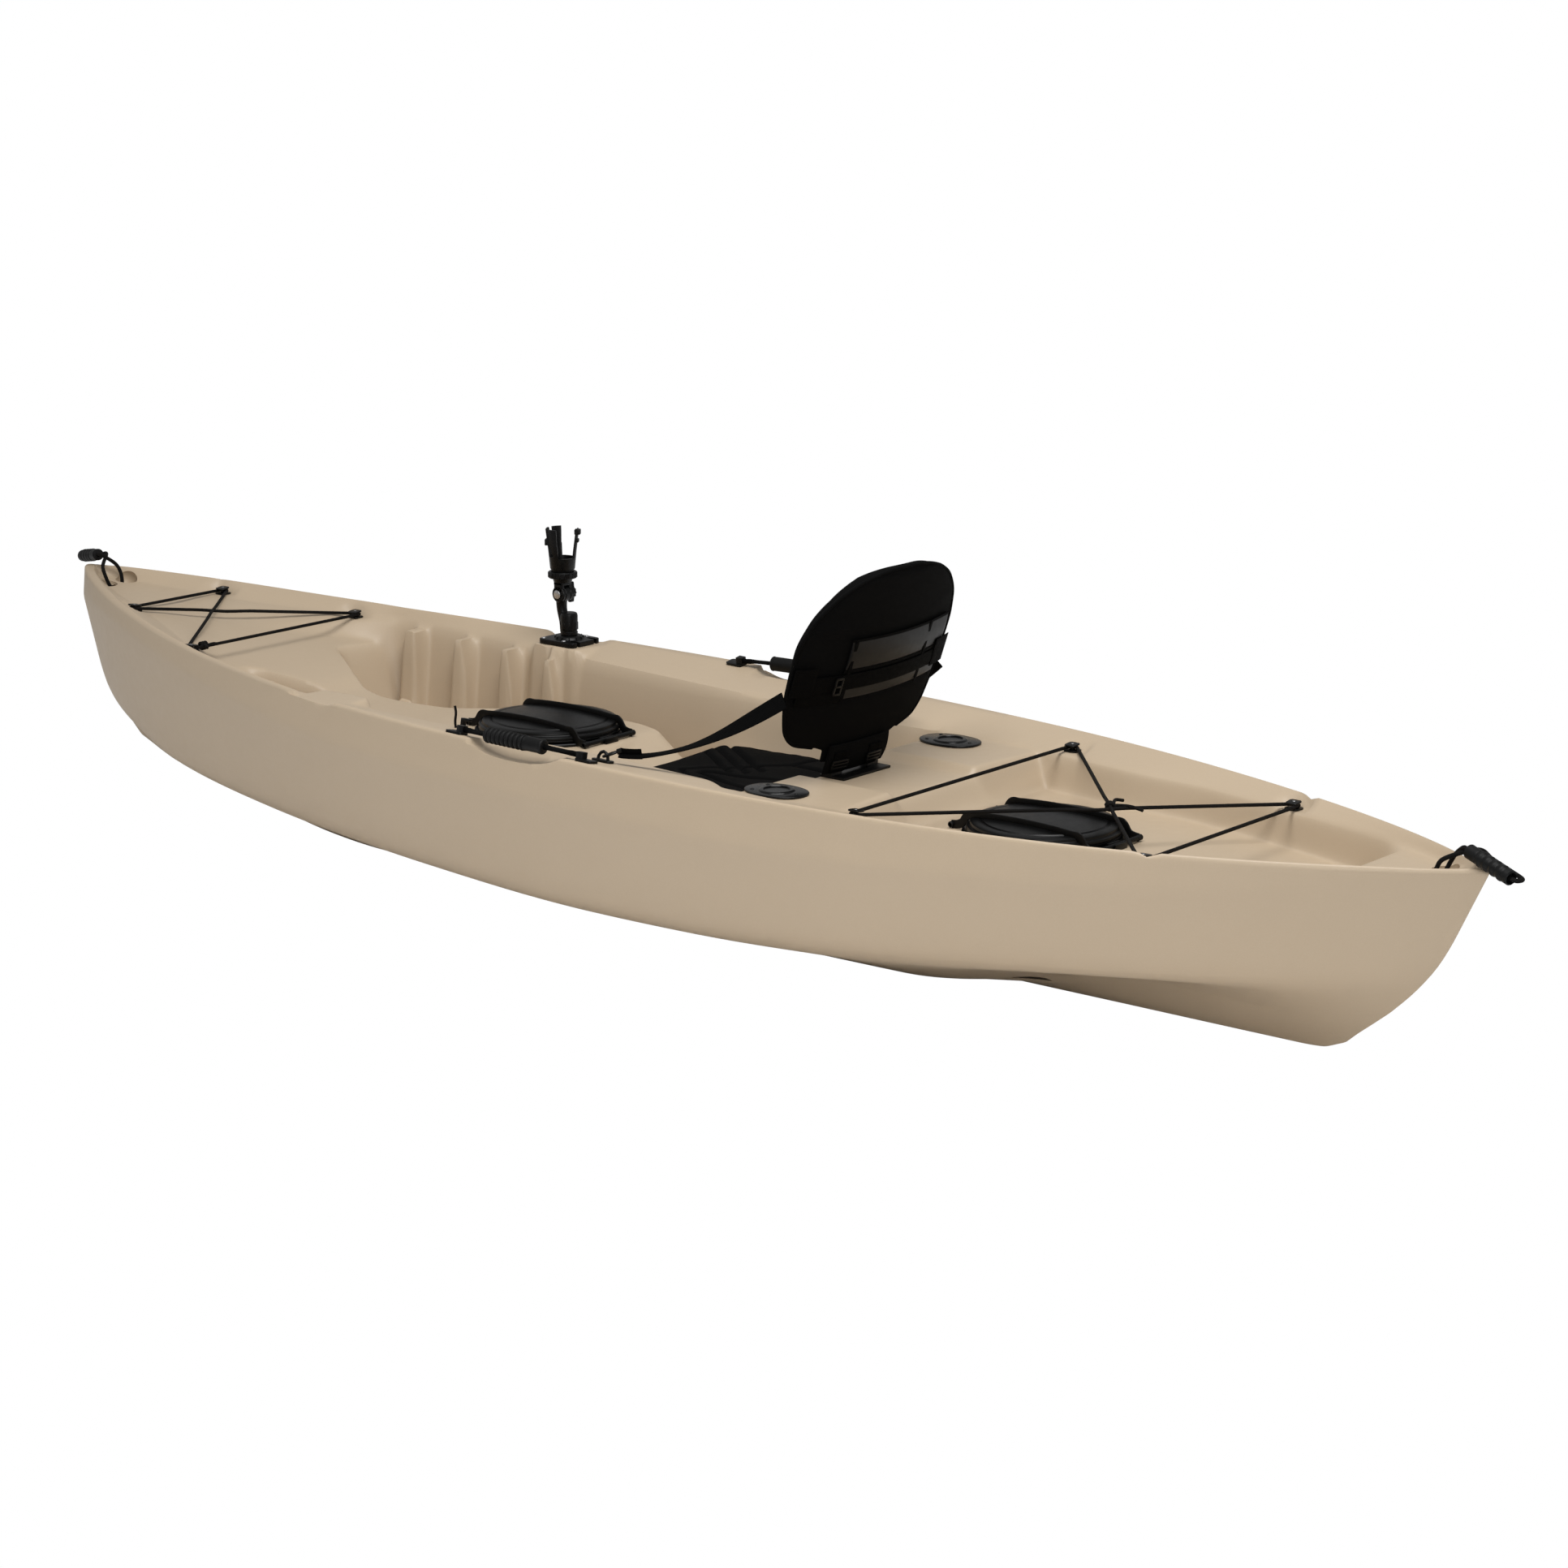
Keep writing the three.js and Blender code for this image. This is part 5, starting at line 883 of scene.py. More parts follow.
def addHatch(name, centre, pad):
    at = frameAt((centre, 0, pad))
    inner, flange, upstand, lip = lid["inner"], lid["flange"], lid["upstand"], lid["lipTop"]
    off, lugHalf = lid["off"], lid["lugHalf"]
    rim = turnedMesh([[inner, -14], [inner + 4, -14], [inner + 4, off], [flange - 1.6, off], [flange, 1.2],
                      [flange, 4.2], [flange - 1, 5.3], [upstand + 2, 5.3], [upstand, 7.2],
                      [upstand, lip - 0.8], [upstand - 0.8, lip], [inner + 0.8, lip], [inner, lip - 0.8],
                      [inner, -14]], 128)
    for side in (-1, 1):
        for near, far, high, bevel in lid["lugs"]:
            xs = sorted((side * near, side * far))
            rim = joined(rim, boxMesh((xs[0], -lugHalf, off), (xs[1], lugHalf, high), bevel))
    finishPiece(f"{name}_hatch_rim_look", moved(rim, at), "black_plastic", f"{name}_hatch_rim", sharp=32)

    seal = turnedMesh([[inner + 0.4, 18.3], [upstand - 0.4, 18.3], [upstand - 0.4, 20.6],
                       [(inner + upstand) / 2, 21.3], [inner + 0.4, 20.6], [inner + 0.4, 18.3]], 96)
    finishPiece(f"{name}_hatch_seal_look", moved(seal, at), "rubber", f"{name}_hatch_seal")

    dome = [[radius, lidTop(radius)] for radius in np.linspace(lid["domeFrom"], 0, 16)]
    cover = turnedMesh([*lidEdge, *dome], 160)
    finishPiece(f"{name}_hatch_lid_look", moved(cover, at), "black_plastic", f"{name}_hatch_lid", sharp=30)

    inside = lid["strapOut"] - lid["eyeHalf"]
    top = [(x, lidTop(math.hypot(x, inside)) + lid["strapOver"]) for x in lid["strapTop"]]
    half = strapSide + top
    path = half + [(-x, z) for x, z in half[-2::-1]]
    ends, rise, loop = (-lid["barOut"], lid["barOut"]), lid["barRise"], []
    for across in (-lid["strapOut"], lid["strapOut"]):
        route = spline([(x, across, z) for x, z in path], 90)
        loop.append(bandAlong(route, lid["strapWide"], lid["strapThick"], up=(0, 0, 1), corner=1.2))
        near, far = across - lid["eyeHalf"], across + lid["eyeHalf"]
        loop += [rodMesh((x, near, rise), (x, far, rise), lid["eyeRadius"], 28, 1.2) for x in ends]
    half = lid["barHalf"]
    loop += [rodMesh((x, -half, rise), (x, half, rise), lid["barRadius"], 24, 1.0) for x in ends]
    strap = moved(joined(*loop), at)
    finishPiece(f"{name}_hatch_strap_look", strap, "rubber", f"{name}_hatch_strap_loop", sharp=40)


for hatchName, (hatchX, hatchPad) in hatchPlaces.items():
    addHatch(hatchName, hatchX, hatchPad)
print("hatches")


# Seat cushion

pad = dict(
    front=-81, rear=262, half=206, level=205.3, crown=30, lift=18, liftShare=0.8, channelDeep=8.0,
    channelWide=4.6, piping=2.4, pipingIn=0.992, seamRise=7, edgeShare=0.06, endShare=0.09, columns=173,
    bunched=0.55, puff=1.6, wrinkle=0.35, wrinkleOut=190, least=2.5, undersideIn=0.985,
)
padHalf = [[0, 0.8], [0.04, 0.87], [0.14, 0.93], [0.26, 0.97], [0.45, 1], [0.8, 0.98], [0.93, 0.92], [1, 0.8]]
# sewn channels on one half, from one end to the other; the other half is their mirror
padChannels = [((-15, 0), (118, 132)), ((-62, 118), (62, 33)), ((-66, 150), (88, 48)),
               ((-62, 178), (106, 68)), ((30, 6), (240, 60)), ((118, 132), (244, 120)),
               ((118, 132), (150, 198))]


def groove(x, y, start, stop, wide):
    # 1 on the line of a sewn channel, falling smoothly to 0 beside it
    (ax, ay), (bx, by) = start, stop
    length = math.hypot(bx - ax, by - ay)
    t = np.clip(((x - ax) * (bx - ax) + (y - ay) * (by - ay)) / length ** 2, 0, 1)
    away = np.hypot(x - ax - t * (bx - ax), y - ay - t * (by - ay))
    return np.exp(-(away / wide) ** 2)


def addCushion():
    # rows from front to rear and points across, closer together toward the edges
    close = np.sin(np.linspace(0, math.pi / 2, 14)) * pad["edgeShare"]
    middle = np.linspace(pad["edgeShare"], 1 - pad["edgeShare"], 150)
    shares = np.concatenate([close[:-1], middle, 1 - close[::-1][1:]])
    around = np.sin(np.linspace(-math.pi / 2, math.pi / 2, pad["columns"]))
    around = mix(around, np.linspace(-1, 1, pad["columns"]), pad["bunched"])
    s, u = np.meshgrid(shares, around, indexing="ij")
    half = pad["half"] * follow(padHalf, s)
    x = mix(pad["front"], pad["rear"], s)
    y = half * u
    ends = np.minimum(s, 1 - s) / pad["endShare"]
    full = np.sqrt(1 - (1 - np.clip(ends, 0, 1)) ** 2.4)
    side = np.sqrt(np.maximum(1 - abs(u) ** 9, 0))
    height = pad["crown"] + pad["lift"] * pad["liftShare"] * abs(u) ** 3
    height = height * (0.3 + 0.7 * side * full) * np.minimum(1, 0.35 + side)
    sewn = 0
    for start, stop in padChannels:
        sewn = np.maximum(sewn, groove(x, abs(y), start, stop, pad["channelWide"]))
    puff = pad["puff"] * np.sin(x / 23.0) * np.sin(abs(y) / 19.0 + 0.6)
    height = height - (pad["channelDeep"] * sewn - puff * (1 - sewn)) * side * full
    wrinkle = pad["wrinkle"] * np.sin(x / 5.1 + 2 * np.sin(y / 17))
    wrinkle = wrinkle * np.exp(-((abs(y) - pad["wrinkleOut"]) / 14) ** 2)
    top = np.stack([x, y, pad["level"] + np.maximum(height + wrinkle, pad["least"])], 2)
    low = np.stack([x, y * pad["undersideIn"], np.full_like(x, pad["level"])], 2)[:, ::12][:, ::-1]
    skin = gridMesh(np.concatenate([top, low], axis=1), closed=True)
    cushion = finishPiece("seat_cushion_look", skin, "fabric", "seat_cushion", sharp=60)

    edge = []
    for t in np.linspace(0, 1, 60):
        edge.append((mix(pad["front"], pad["rear"], t), float(pad["half"] * follow(padHalf, t))))
    outline = [(x, -y) for x, y in edge] + [(x, y) for x, y in edge[::-1]]
    seam = pad["level"] + pad["seamRise"]
    route = spline([(x, y * pad["pipingIn"], seam) for x, y in outline[::3]], 260, closed=True)
    finishPiece("seat_cushion_piping", tubeAlong(route, pad["piping"], 8, closed=True), "fabric", body="hull")


addCushion()
print("seat cushion")


# Backrest

rest = dict(
    x=350, z=303, recline=18.6, height=360, half=200, wrap=26, padThick=25, padIn=5, piping=3.0, reach=176,
    pinHalf=66, pin=3.5, coverPuff=2.6, pressed=(118, 134, 240, 262), channelDeep=6.5, channelWide=4.0,
    tabs=(146, 196), tabWide=44,
)
# sewn channels on one half of its pad, as up and across from one end to the other
restChannels = [((60, 62), (330, 92)), ((60, 122), (300, 140)), ((110, 0), (110, 62)), ((200, 0), (200, 76)),
                ((280, 0), (280, 86))]
restHalf = [[0, 0.4], [0.09, 0.41], [0.118, 0.52], [0.135, 0.7], [0.165, 0.82], [0.23, 0.91], [0.41, 0.985],
            [0.6, 1], [0.74, 0.93], [0.87, 0.74], [0.95, 0.5], [0.985, 0.28], [1, 0.1]]


def onBack(out, across, up):
    # points from the backrest's own frame: out behind its face, across, and up its height
    turn = math.radians(rest["recline"])
    out, across, up = np.broadcast_arrays(np.array(out, float), across, up)
    return np.stack([rest["x"] + out * math.cos(turn) + up * math.sin(turn), across,
                     rest["z"] - out * math.sin(turn) + up * math.cos(turn)], -1)


def wrapAt(across):
    return -rest["wrap"] * (across / rest["half"]) ** 2


def backHalf(up):
    return rest["half"] * follow(restHalf, up / rest["height"])


def addBackShell():
    # the rear cover: foam under cloth, fuller in the middle, flat where the straps press it
    highest = np.linspace(353.5, rest["height"], 7)
    ups = np.concatenate([np.linspace(14, 38, 14), np.linspace(40, 352, 110), highest])
    v, u = np.meshgrid(ups, np.sin(np.linspace(-math.pi / 2, math.pi / 2, 97)), indexing="ij")
    y = backHalf(v) * u
    edge = np.sqrt(np.maximum(1 - abs(u) ** 10, 0)) * ease(rest["height"] - v, 0, 16)
    low, lowFull, highFull, high = rest["pressed"]
    pressed = ease(v, low, lowFull) * (1 - ease(v, highFull, high))
    puff = 1.7 + rest["coverPuff"] * edge * (1 - 0.9 * pressed) * ease(v, 44, 90)
    crease = 0.5 * np.sin(v / 9 + 3 * np.sin(y / 60)) * edge * (1 - pressed) * ease(abs(y), 70, 190)
    rear = onBack(wrapAt(y) + puff * edge + crease, y, v)
    front = onBack(wrapAt(y) - 3.2, y, v)[:, ::4][:, ::-1]
    finishPiece("backrest_cover", gridMesh(np.concatenate([rear, front], axis=1), closed=True), "fabric",
                "backrest_shell", sharp=60)
    side = [(float(backHalf(up)), up) for up in np.concatenate([np.linspace(44, 350, 40), [355, 358.5]])]
    line = [(-y, up) for y, up in side] + [(y, up) for y, up in side[::-1]]
    points = np.array([onBack(wrapAt(y) - 0.5, y, up) for y, up in line])
    piping = tubeAlong(spline(points, 220), rest["piping"], 8, up=(1, 0, 0.02))
    finishPiece("backrest_piping", piping, "fabric", body="backrest")


def addBackPad():
    ups = np.concatenate([np.linspace(48, 60, 8), np.linspace(62, 340, 96), np.linspace(342, 356, 8)])
    v, u = np.meshgrid(ups, np.sin(np.linspace(-math.pi / 2, math.pi / 2, 121)), indexing="ij")
    y = (backHalf(v) - rest["padIn"]) * u
    full = np.sqrt(np.maximum(1 - abs(u) ** 7, 0)) * np.sqrt(np.clip((v - 46) / 22, 0, 1)) \
        * np.sqrt(np.clip((359 - v) / 22, 0, 1))
    sewn = 0
    for start, stop in restChannels:
        sewn = np.maximum(sewn, groove(v, abs(y), start, stop, rest["channelWide"]))
    thick = (rest["padThick"] - rest["channelDeep"] * sewn) * full
    front = onBack(wrapAt(y) - 4.7 - thick, y, v)
    rear = onBack(wrapAt(y) - 4.6, y, v)[:, ::6][:, ::-1]
    padded = finishPiece("backrest_pad_look", gridMesh(np.concatenate([front, rear], axis=1), closed=True),
                         "fabric", "backrest_pad", sharp=60)


def backPatch(name, acrossFrom, acrossTo, low, high, out, thick, material=None, node=None, slot="webbing",
              bow=0.0):
    # a panel or a strap on the backrest's rear face: its span across and up, stand-off and thickness
    rows = np.linspace(low, high, 12)
    count = max(6, int((acrossTo - acrossFrom) / 7))
    v, y = np.meshgrid(rows, np.linspace(acrossFrom, acrossTo, count), indexing="ij")
    lean = bow * np.sin((v - low) / (high - low) * math.pi)
    outer = onBack(wrapAt(y) + out + thick + lean, y, v)
    inner = onBack(wrapAt(y) + out, y, v)[:, ::-1]
    bm = gridMesh(np.concatenate([outer, inner], axis=1), closed=True)
    roundEdges(bm, 0.5, 2, 50)
    return finishPiece(name, bm, slot, node, None if node else "backrest", sharp=50, material=material)


satinPanel = mouldedPlastic("satinPanel", 0.004, 0.36, 0.48, 0.05, 0.2)


def addLumbar():
    # two satin panels and their hems between thin vertical webbing, two straps, and the tab at each edge
    reach = rest["reach"]
    backPatch("backrest_panel_high", -92, reach + 4, 184, 238, 3.6, 1.4, satinPanel,
              node="backrest_lumbar_band", bow=2.2)
    backPatch("backrest_panel_low", -86, reach + 2, 132, 166, 3.6, 1.2, satinPanel, bow=1.4)
    backPatch("backrest_panel_hem_low", -96, reach + 4, 180, 186, 4.8, 1.4)
    backPatch("backrest_panel_hem_high", -96, reach + 4, 236, 241, 4.8, 1.4)
    for k, across in enumerate((-84, 118)):
        backPatch(f"backrest_upright_{k}", across - 4, across + 4, 128, 241, 5.6, 1.3)
    backPatch("backrest_strap", -reach - 14, reach + 14, 150, 178, 5.4, 2.0, bow=0.8)
    backPatch("backrest_strap_low", -reach - 8, -84, 128, 158, 4.2, 2.0, bow=0.8)
    for name, side in sides.items():
        reach = side * rest["half"]
        ends = sorted((reach - side * rest["tabWide"], reach + side * 1))
        backPatch(f"backrest_tab_{name}", *ends, *rest["tabs"], 7.2, 1.8)


def addBuckle(name, across, up, wide, high, out):
    # a ladder buckle: a frame with a middle bar
    turn = Matrix.Rotation(math.radians(rest["recline"]), 3, "Y")
    lean = Matrix.Rotation(2 * rest["wrap"] / rest["half"] ** 2 * across, 3, "Z")
    at = Matrix.Translation(Vector(onBack(wrapAt(across) + out, across, up)) * mm) @ (turn @ lean).to_4x4()
    far, top, edge, thick = wide / 2, high / 2, 4, 3.4
    spans = [(-far, -top, far, edge - top), (-far, top - edge, far, top), (-far, -top, edge - far, top),
             (far - edge, -top, far, top), (-far, -edge / 2, far, edge / 2)]
    bars = [boxMesh((0, left, low), (thick, right, over), 0.9) for left, low, right, over in spans]
    finishPiece(name, moved(joined(*bars), at), "black_plastic", body="backrest")


def addBackFoot():
    # webbing over the neck, and the hinge's leaf and pin under it
    backPatch("backrest_neck_flap", -78, 78, -7, 46, 5.6, 2.2, slot="fabric", bow=4.0)
    for k, across in enumerate((-50, 38)):
        backPatch(f"backrest_neck_strap_{k}", across - 16, across + 16, -4, 34, 11.0, 1.6, bow=1.0)
    addBuckle("backrest_neck_buckle_port", -50, 12, 40, 16, 12.4)
    addBuckle("backrest_neck_buckle_starboard", 38, 12, 40, 16, 12.4)
    addBuckle("backrest_lumbar_buckle", -104, 160, 18, 32, 8.0)
    half = rest["pinHalf"]
    pin = rodMesh((rest["x"], -half, rest["z"]), (rest["x"], half, rest["z"]), rest["pin"], 20, 0.6)
    finishPiece("backrest_pin_look", pin, "steel", "backrest_hinge_pin")
    recast("backrest_hinge_base", bevel=0.9)


addBackShell()
addBackPad()
addLumbar()
addBackFoot()
print("backrest")


# Side straps

strap = dict(
    narrow=18, wide=30, thick=2.6, taper=0.85, startX=118, startY=309, startZ=337, sag=26, sewnAt=140,
    off=1.5, roll=(8, 58), curl=3.5, foldRows=9, foldThick=1.6,
)


def addSideStrap(name, side):
    start = np.array([strap["startX"], side * strap["startY"], strap["startZ"]])
    stop = onBack(wrapAt(rest["half"]) + strap["off"], side * (rest["half"] + strap["off"]), strap["sewnAt"])
    ts = np.linspace(0, 1, 60)
    droop = np.sin(math.pi * ts ** 0.85) * strap["sag"]
    route = start + (stop - start) * ts[:, None] - np.outer(droop, [0, 0, 1])
    ahead = unit(np.gradient(route, axis=0))
    flat = unit(np.cross(ahead, [0, 0, 1]))
    lift = np.cross(flat, ahead)
    roll = np.radians(mix(*strap["roll"], ease(ts, 0.3, 1.0)))[:, None] * side
    wideWay = flat * np.cos(roll) + lift * np.sin(roll)
    thickWay = np.cross(wideWay, ahead)
    half = mix(strap["narrow"], strap["wide"], ease(ts, 0.04, strap["taper"]))[:, None] / 2
    curl = strap["curl"] * (1 - ease(ts, 0.05, 0.35))[:, None]
    section = []
    for turn in np.linspace(0, 2 * math.pi, 28, endpoint=False):
        out, rise = math.cos(turn), math.sin(turn)
        cup = curl * out ** 2
        edge = np.sign(out) * abs(out) ** 0.35
        section.append(route + wideWay * half * edge + thickWay * (strap["thick"] / 2 * rise - cup))
    bm = gridMesh(np.stack(section, 1), closed=True)
    webbing = finishPiece(f"{name}_side_strap_look", bm, "webbing", sharp=60)
    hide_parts(f"{name}_side_strap")
    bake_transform(webbing)
    rows = strap["foldRows"]
    folded = route[:rows] + thickWay[:rows] * (strap["thick"] / 2 + 0.5)
    fold = bandAlong(folded, strap["narrow"], strap["foldThick"], up=tuple(thickWay[rows // 2]))
    finishPiece(f"{name}_strap_fold", fold, "webbing", body="hull", sharp=60)
    recast(f"{name}_strap_hook", bevel=0.5)
    recast(f"{name}_strap_eye", bevel=0.6)


for sideName, way in sides.items():
    addSideStrap(sideName, way)
print("side straps")


# Flush rod holders

tube = dict(
    x=381, y=231, deck=300.3, bore=21, wall=2.5, depth=150, long=56, wide=41, thick=6, flangeShare=0.62,
    collar=9, screwOut=40, screws=((1, 0), (-0.86, 0.5), (-0.86, -0.5)), screw=(3.2, 1.7),
)


def addRodTube(name, side):
    at = frameAt((tube["x"], side * tube["y"], tube["deck"]))
    bore, outside, thick = tube["bore"], tube["bore"] + tube["wall"], tube["thick"]
    hole = turnedMesh([[0, -2], [bore + 2, -2], [bore + 2, thick], [0, thick]], 56)
    plate, edge = thick * tube["flangeShare"], bore + tube["collar"]
    flange = plateMesh(ovalOutline(tube["long"], tube["wide"], 2.2, 72), 0, plate, 1.4, 3)
    flange = cutAway(flange, [hole])
    body = turnedMesh([[0, -tube["depth"]], [outside - 1, -tube["depth"]], [outside, 1 - tube["depth"]],
                       [outside, 0], [bore, 0], [bore, 2.5 - tube["depth"]], [0, 2.5 - tube["depth"]]], 56)
    collar = turnedMesh([[bore + 0.05, -6], [bore + 0.05, thick - 1.2], [bore + 1.2, thick],
                         [edge - 3.5, thick], [edge - 1.5, thick - 0.8], [edge, thick * 0.6],
                         [edge, thick * 0.4], [bore + 0.05, -6]], 72)
    finishPiece(f"{name}_rod_tube_look", moved(joined(flange, collar), at), "gloss_plastic",
                f"{name}_rod_tube", sharp=32)
    finishPiece(f"{name}_rod_tube_bore", moved(body, at), "rubber", body="hull", sharp=32)
    for k, (along, across) in enumerate(tube["screws"]):
        place = at @ frameAt((along * tube["screwOut"], across * tube["screwOut"], plate - 0.4))
        screw = moved(screwMesh(*tube["screw"]), place)
        finishPiece(f"{name}_tube_screw_{k}", screw, "black_plastic", body="hull")


for sideName, way in sides.items():
    addRodTube(sideName, way)
print("rod tubes")


# Adjustable rod holder

cradle = dict(
    x=-552, y=306, base=333.3, fore=15, elbow=424, long=88, wide=78, thick=9, boss=25, ribs=12, post=16,
    postLugs=8, arm=11, jaw=15, jawHalf=6, cheek=7, cupLow=446, cupHigh=478, cupBottom=17, cupTop=23, wall=4,
    teeth=12, portTip=546, turn=33, baseScrews=((-1, -1), (-1, 1), (0.42, -1), (0.42, 1)), knobOut=13.8,
)
lockRing = dict(low=454, high=466, inner=19.1, outer=27.2, knurls=18, tabs=(20, 140, 260))
# the gap between the two prongs above its root, and the pads on the prongs, placed from the tip's height,
# each with its half size
forkGap = [(-6, 46), (-1, 34), (6, 28), (12, 29), (15.5, 36), (16.5, 48)]
forkPads = [((28.5, 0, -6), (5.4, 7, 5)), ((27.4, 0, -22), (3.4, 6, 3.6)), ((-28, 0, -26), (4.0, 8, 6))]


def spun(build, count, first=0.0):
    # copies of one small shape, evenly spaced round the upright axis
    turns = first + np.arange(count) * 2 * math.pi / count
    return joined(*(moved(build(), Matrix.Rotation(turn, 4, "Z")) for turn in turns))


def addRodBase():
    half, wide, thick, boss = cradle["long"] / 2, cradle["wide"] / 2, cradle["thick"], cradle["boss"]
    at = frameAt((cradle["x"], cradle["y"], cradle["base"] + 0.3))
    slots = []
    for side in (-1, 1):
        across = side * (wide - 16)
        slots.append(boxMesh((half - 20, across - 4, -4), (half + 4, across + 4, thick + 4)))
    slab = cutAway(plateMesh(ovalOutline(half, wide, 9.0, 64), 0, thick, 1.2, 3), slots)
    raised = turnedMesh([[0, 0], [boss + 3, thick - 0.5], [boss + 1, thick + 1.4], [boss, thick + 3],
                         [boss - 2.4, thick + 5.4], [boss - 5, thick + 6], [0, thick + 6]], 56)
    ribs = spun(lambda: boxMesh((17, -1.1, thick - 1), (boss + 2.4, 1.1, thick + 4.6), 0.4), cradle["ribs"],
                math.radians(12))
    finishPiece("rod_base_look", moved(joined(slab, raised, ribs), at), "black_plastic", "rod_holder_base",
                sharp=34)
    for k, (along, across) in enumerate(cradle["baseScrews"]):
        place = at @ frameAt((along * (half - 9), across * (wide - 8), thick - 0.3))
        finishPiece(f"rod_base_screw_{k}", moved(screwMesh(4.2, 2.4), place), "steel", body="hull")


def addRodPost():
    low = cradle["base"] + cradle["thick"] + 6.6
    radius, arm, x, y = cradle["post"], cradle["arm"], cradle["x"], cradle["y"]
    elbowX, elbow, jawHalf = x - cradle["fore"], cradle["elbow"], cradle["jawHalf"]
    column = turnedMesh([[8.4, 0], [radius - 1, 0], [radius, 1], [radius, 6], [radius - 1.2, 7],
                         [radius - 1.2, 9], [radius, 10], [radius, 36], [radius - 1, 40], [radius - 3, 41.5],
                         [0, 41.5], [0, 18.5], [8.4, 18.5], [8.4, 0]], 40)
    column = moved(column, frameAt((x, y, low)))
    route = spline([(x - 7, y, low + 6), (x - 11, y, low + 24), (x - 17, y, low + 44),
                    (elbowX - 3, y, low + 62), (elbowX, y, elbow)], 24)
    neck = tubeAlong(route, lambda t: mix(arm + 0.5, arm - 1.5, math.sin(math.pi * t)), 24, up=(0, 1, 0))
    eye = rodMesh((elbowX, y - jawHalf, elbow), (elbowX, y + jawHalf, elbow), cradle["jaw"], 40, 1.2)
    window = boxMesh((x - 4, y - radius - 0.6, low + 11), (x + 4, y - radius + 4, low + 24), 1.8, 3)
    lugs = spun(lambda: boxMesh((radius - 2.5, -1.4, 10), (radius + 0.8, 1.4, 24), 0.6), cradle["postLugs"])
    parts = joined(column, neck, eye, window, moved(lugs, frameAt((x, y, low))))
    finishPiece("rod_post_look", parts, "black_plastic", "rod_holder_post", sharp=34)


def addFork(x, y):
    # the cradle's open trough: one wall rises as a broad prong, the other as a narrow hooked one
    top, low, tip = cradle["cupTop"], cradle["cupHigh"] - 8, cradle["portTip"]
    wall = turnedMesh([[top - 4, low], [top - 1, low], [top, low + 2], [top + 3, low + 34],
                       [top + 8, tip - 2], [top + 7, tip], [top + 4.6, tip], [top + 4, tip - 3],
                       [top - 0.8, low + 34], [top - 4, low + 3], [top - 4, low]], 72)
    high, far = tip + 20, 60
    upright = Matrix.Rotation(math.radians(90), 4, "X")
    gap = [(-7, high), *((across, low + rise) for across, rise in forkGap), (17, high)]
    tools = [moved(plateMesh(gap, -far, far, 0), upright)]
    for port in (-1, 1):
        # the trough's flanks are cut down toward its open ends
        for outline, near in (
            ([(-far, low + 24), (-14, low + 24), (-20, low + 50), (-25, high), (-far, high)], 9),
            ([(far, low + 22), (far, high), (-8, high), (-4, low + 22)], 8),
        ):
            flank = plateMesh(outline, *sorted((port * near, port * far)), 0)
            tools.append(moved(flank, upright))
    fork = cutAway(wall, tools)
    for place, size in forkPads:
        middle = Vector(place) + Vector((0, 0, tip))
        fork = joined(fork, boxMesh(tuple(middle - Vector(size)), tuple(middle + Vector(size)), 1.6, 3))
    return moved(fork, frameAt((x, y, 0)) @ Matrix.Rotation(math.radians(cradle["turn"]), 4, "Z"))


def addCradle():
    x, y, elbow = cradle["x"] - cradle["fore"], cradle["y"], cradle["elbow"]
    low, high, wall = cradle["cupLow"], cradle["cupHigh"], cradle["wall"]
    bottom, top = cradle["cupBottom"], cradle["cupTop"]
    halfway = [mix(bottom, top, 0.5), (low + high) / 2]
    cup = turnedMesh([[0, low], [bottom - 1, low], [bottom, low + 1], halfway, [top, high - 1],
                      [top - 0.8, high], [top - wall + 0.8, high], [top - wall, high - 1],
                      [bottom - wall, low + wall], [0, low + wall]], 48)
    cup = moved(cup, frameAt((x, y, 0)))
    cheek = cradle["jawHalf"] + 0.5
    outer = cheek + cradle["cheek"]
    for side in (-1, 1):
        ends = sorted((y + side * cheek, y + side * outer))
        disc = rodMesh((x, ends[0], elbow), (x, ends[1], elbow), cradle["jaw"], 40, 1.4)
        arm = boxMesh((x - 10, ends[0], elbow), (x + 10, ends[1], low + 3), 1.4, 3)
        teeth = spun(lambda: boxMesh((8.5, -0.7, -0.8), (13.4, 0.7, 0.6), 0.3), cradle["teeth"])
        outward = Matrix.Rotation(math.radians(-90 * side), 4, "X")
        cup = joined(cup, disc, arm, moved(teeth, frameAt((x, y + side * outer, elbow)) @ outward))
    web = boxMesh((x - 11, y - outer, elbow + 16), (x + 11, y + outer, low + 2), 2.0, 3)
    cup = joined(cup, web, addFork(x, y))
    finishPiece("rod_cradle_look", cup, "black_plastic", "rod_holder_cradle", sharp=34)


def addLockRing():
    x, y = cradle["x"] - cradle["fore"], cradle["y"]
    low, high, inner, outer = (lockRing[key] for key in ("low", "high", "inner", "outer"))
    ring = turnedMesh([[inner, low], [outer - 2, low], [outer - 0.8, low + 1.2], [outer - 0.8, high - 1.2],
                       [outer - 2, high], [inner + 2.2, high], [inner, low]], 72)
    knurls = spun(lambda: boxMesh((outer - 2.4, -1.5, low + 1), (outer, 1.5, high - 1), 0.6),
                  lockRing["knurls"])
    ring = joined(ring, knurls)
    for turn in np.radians(lockRing["tabs"]):
        tab = boxMesh((outer - 3, -4, low + 2), (outer + 0.4, 4, high - 2), 1.2)
        ring = joined(ring, moved(tab, Matrix.Rotation(turn, 4, "Z")))
    finishPiece("rod_lock_ring_look", moved(ring, frameAt((x, y, 0))), "black_plastic",
                "rod_holder_lock_ring", sharp=34)


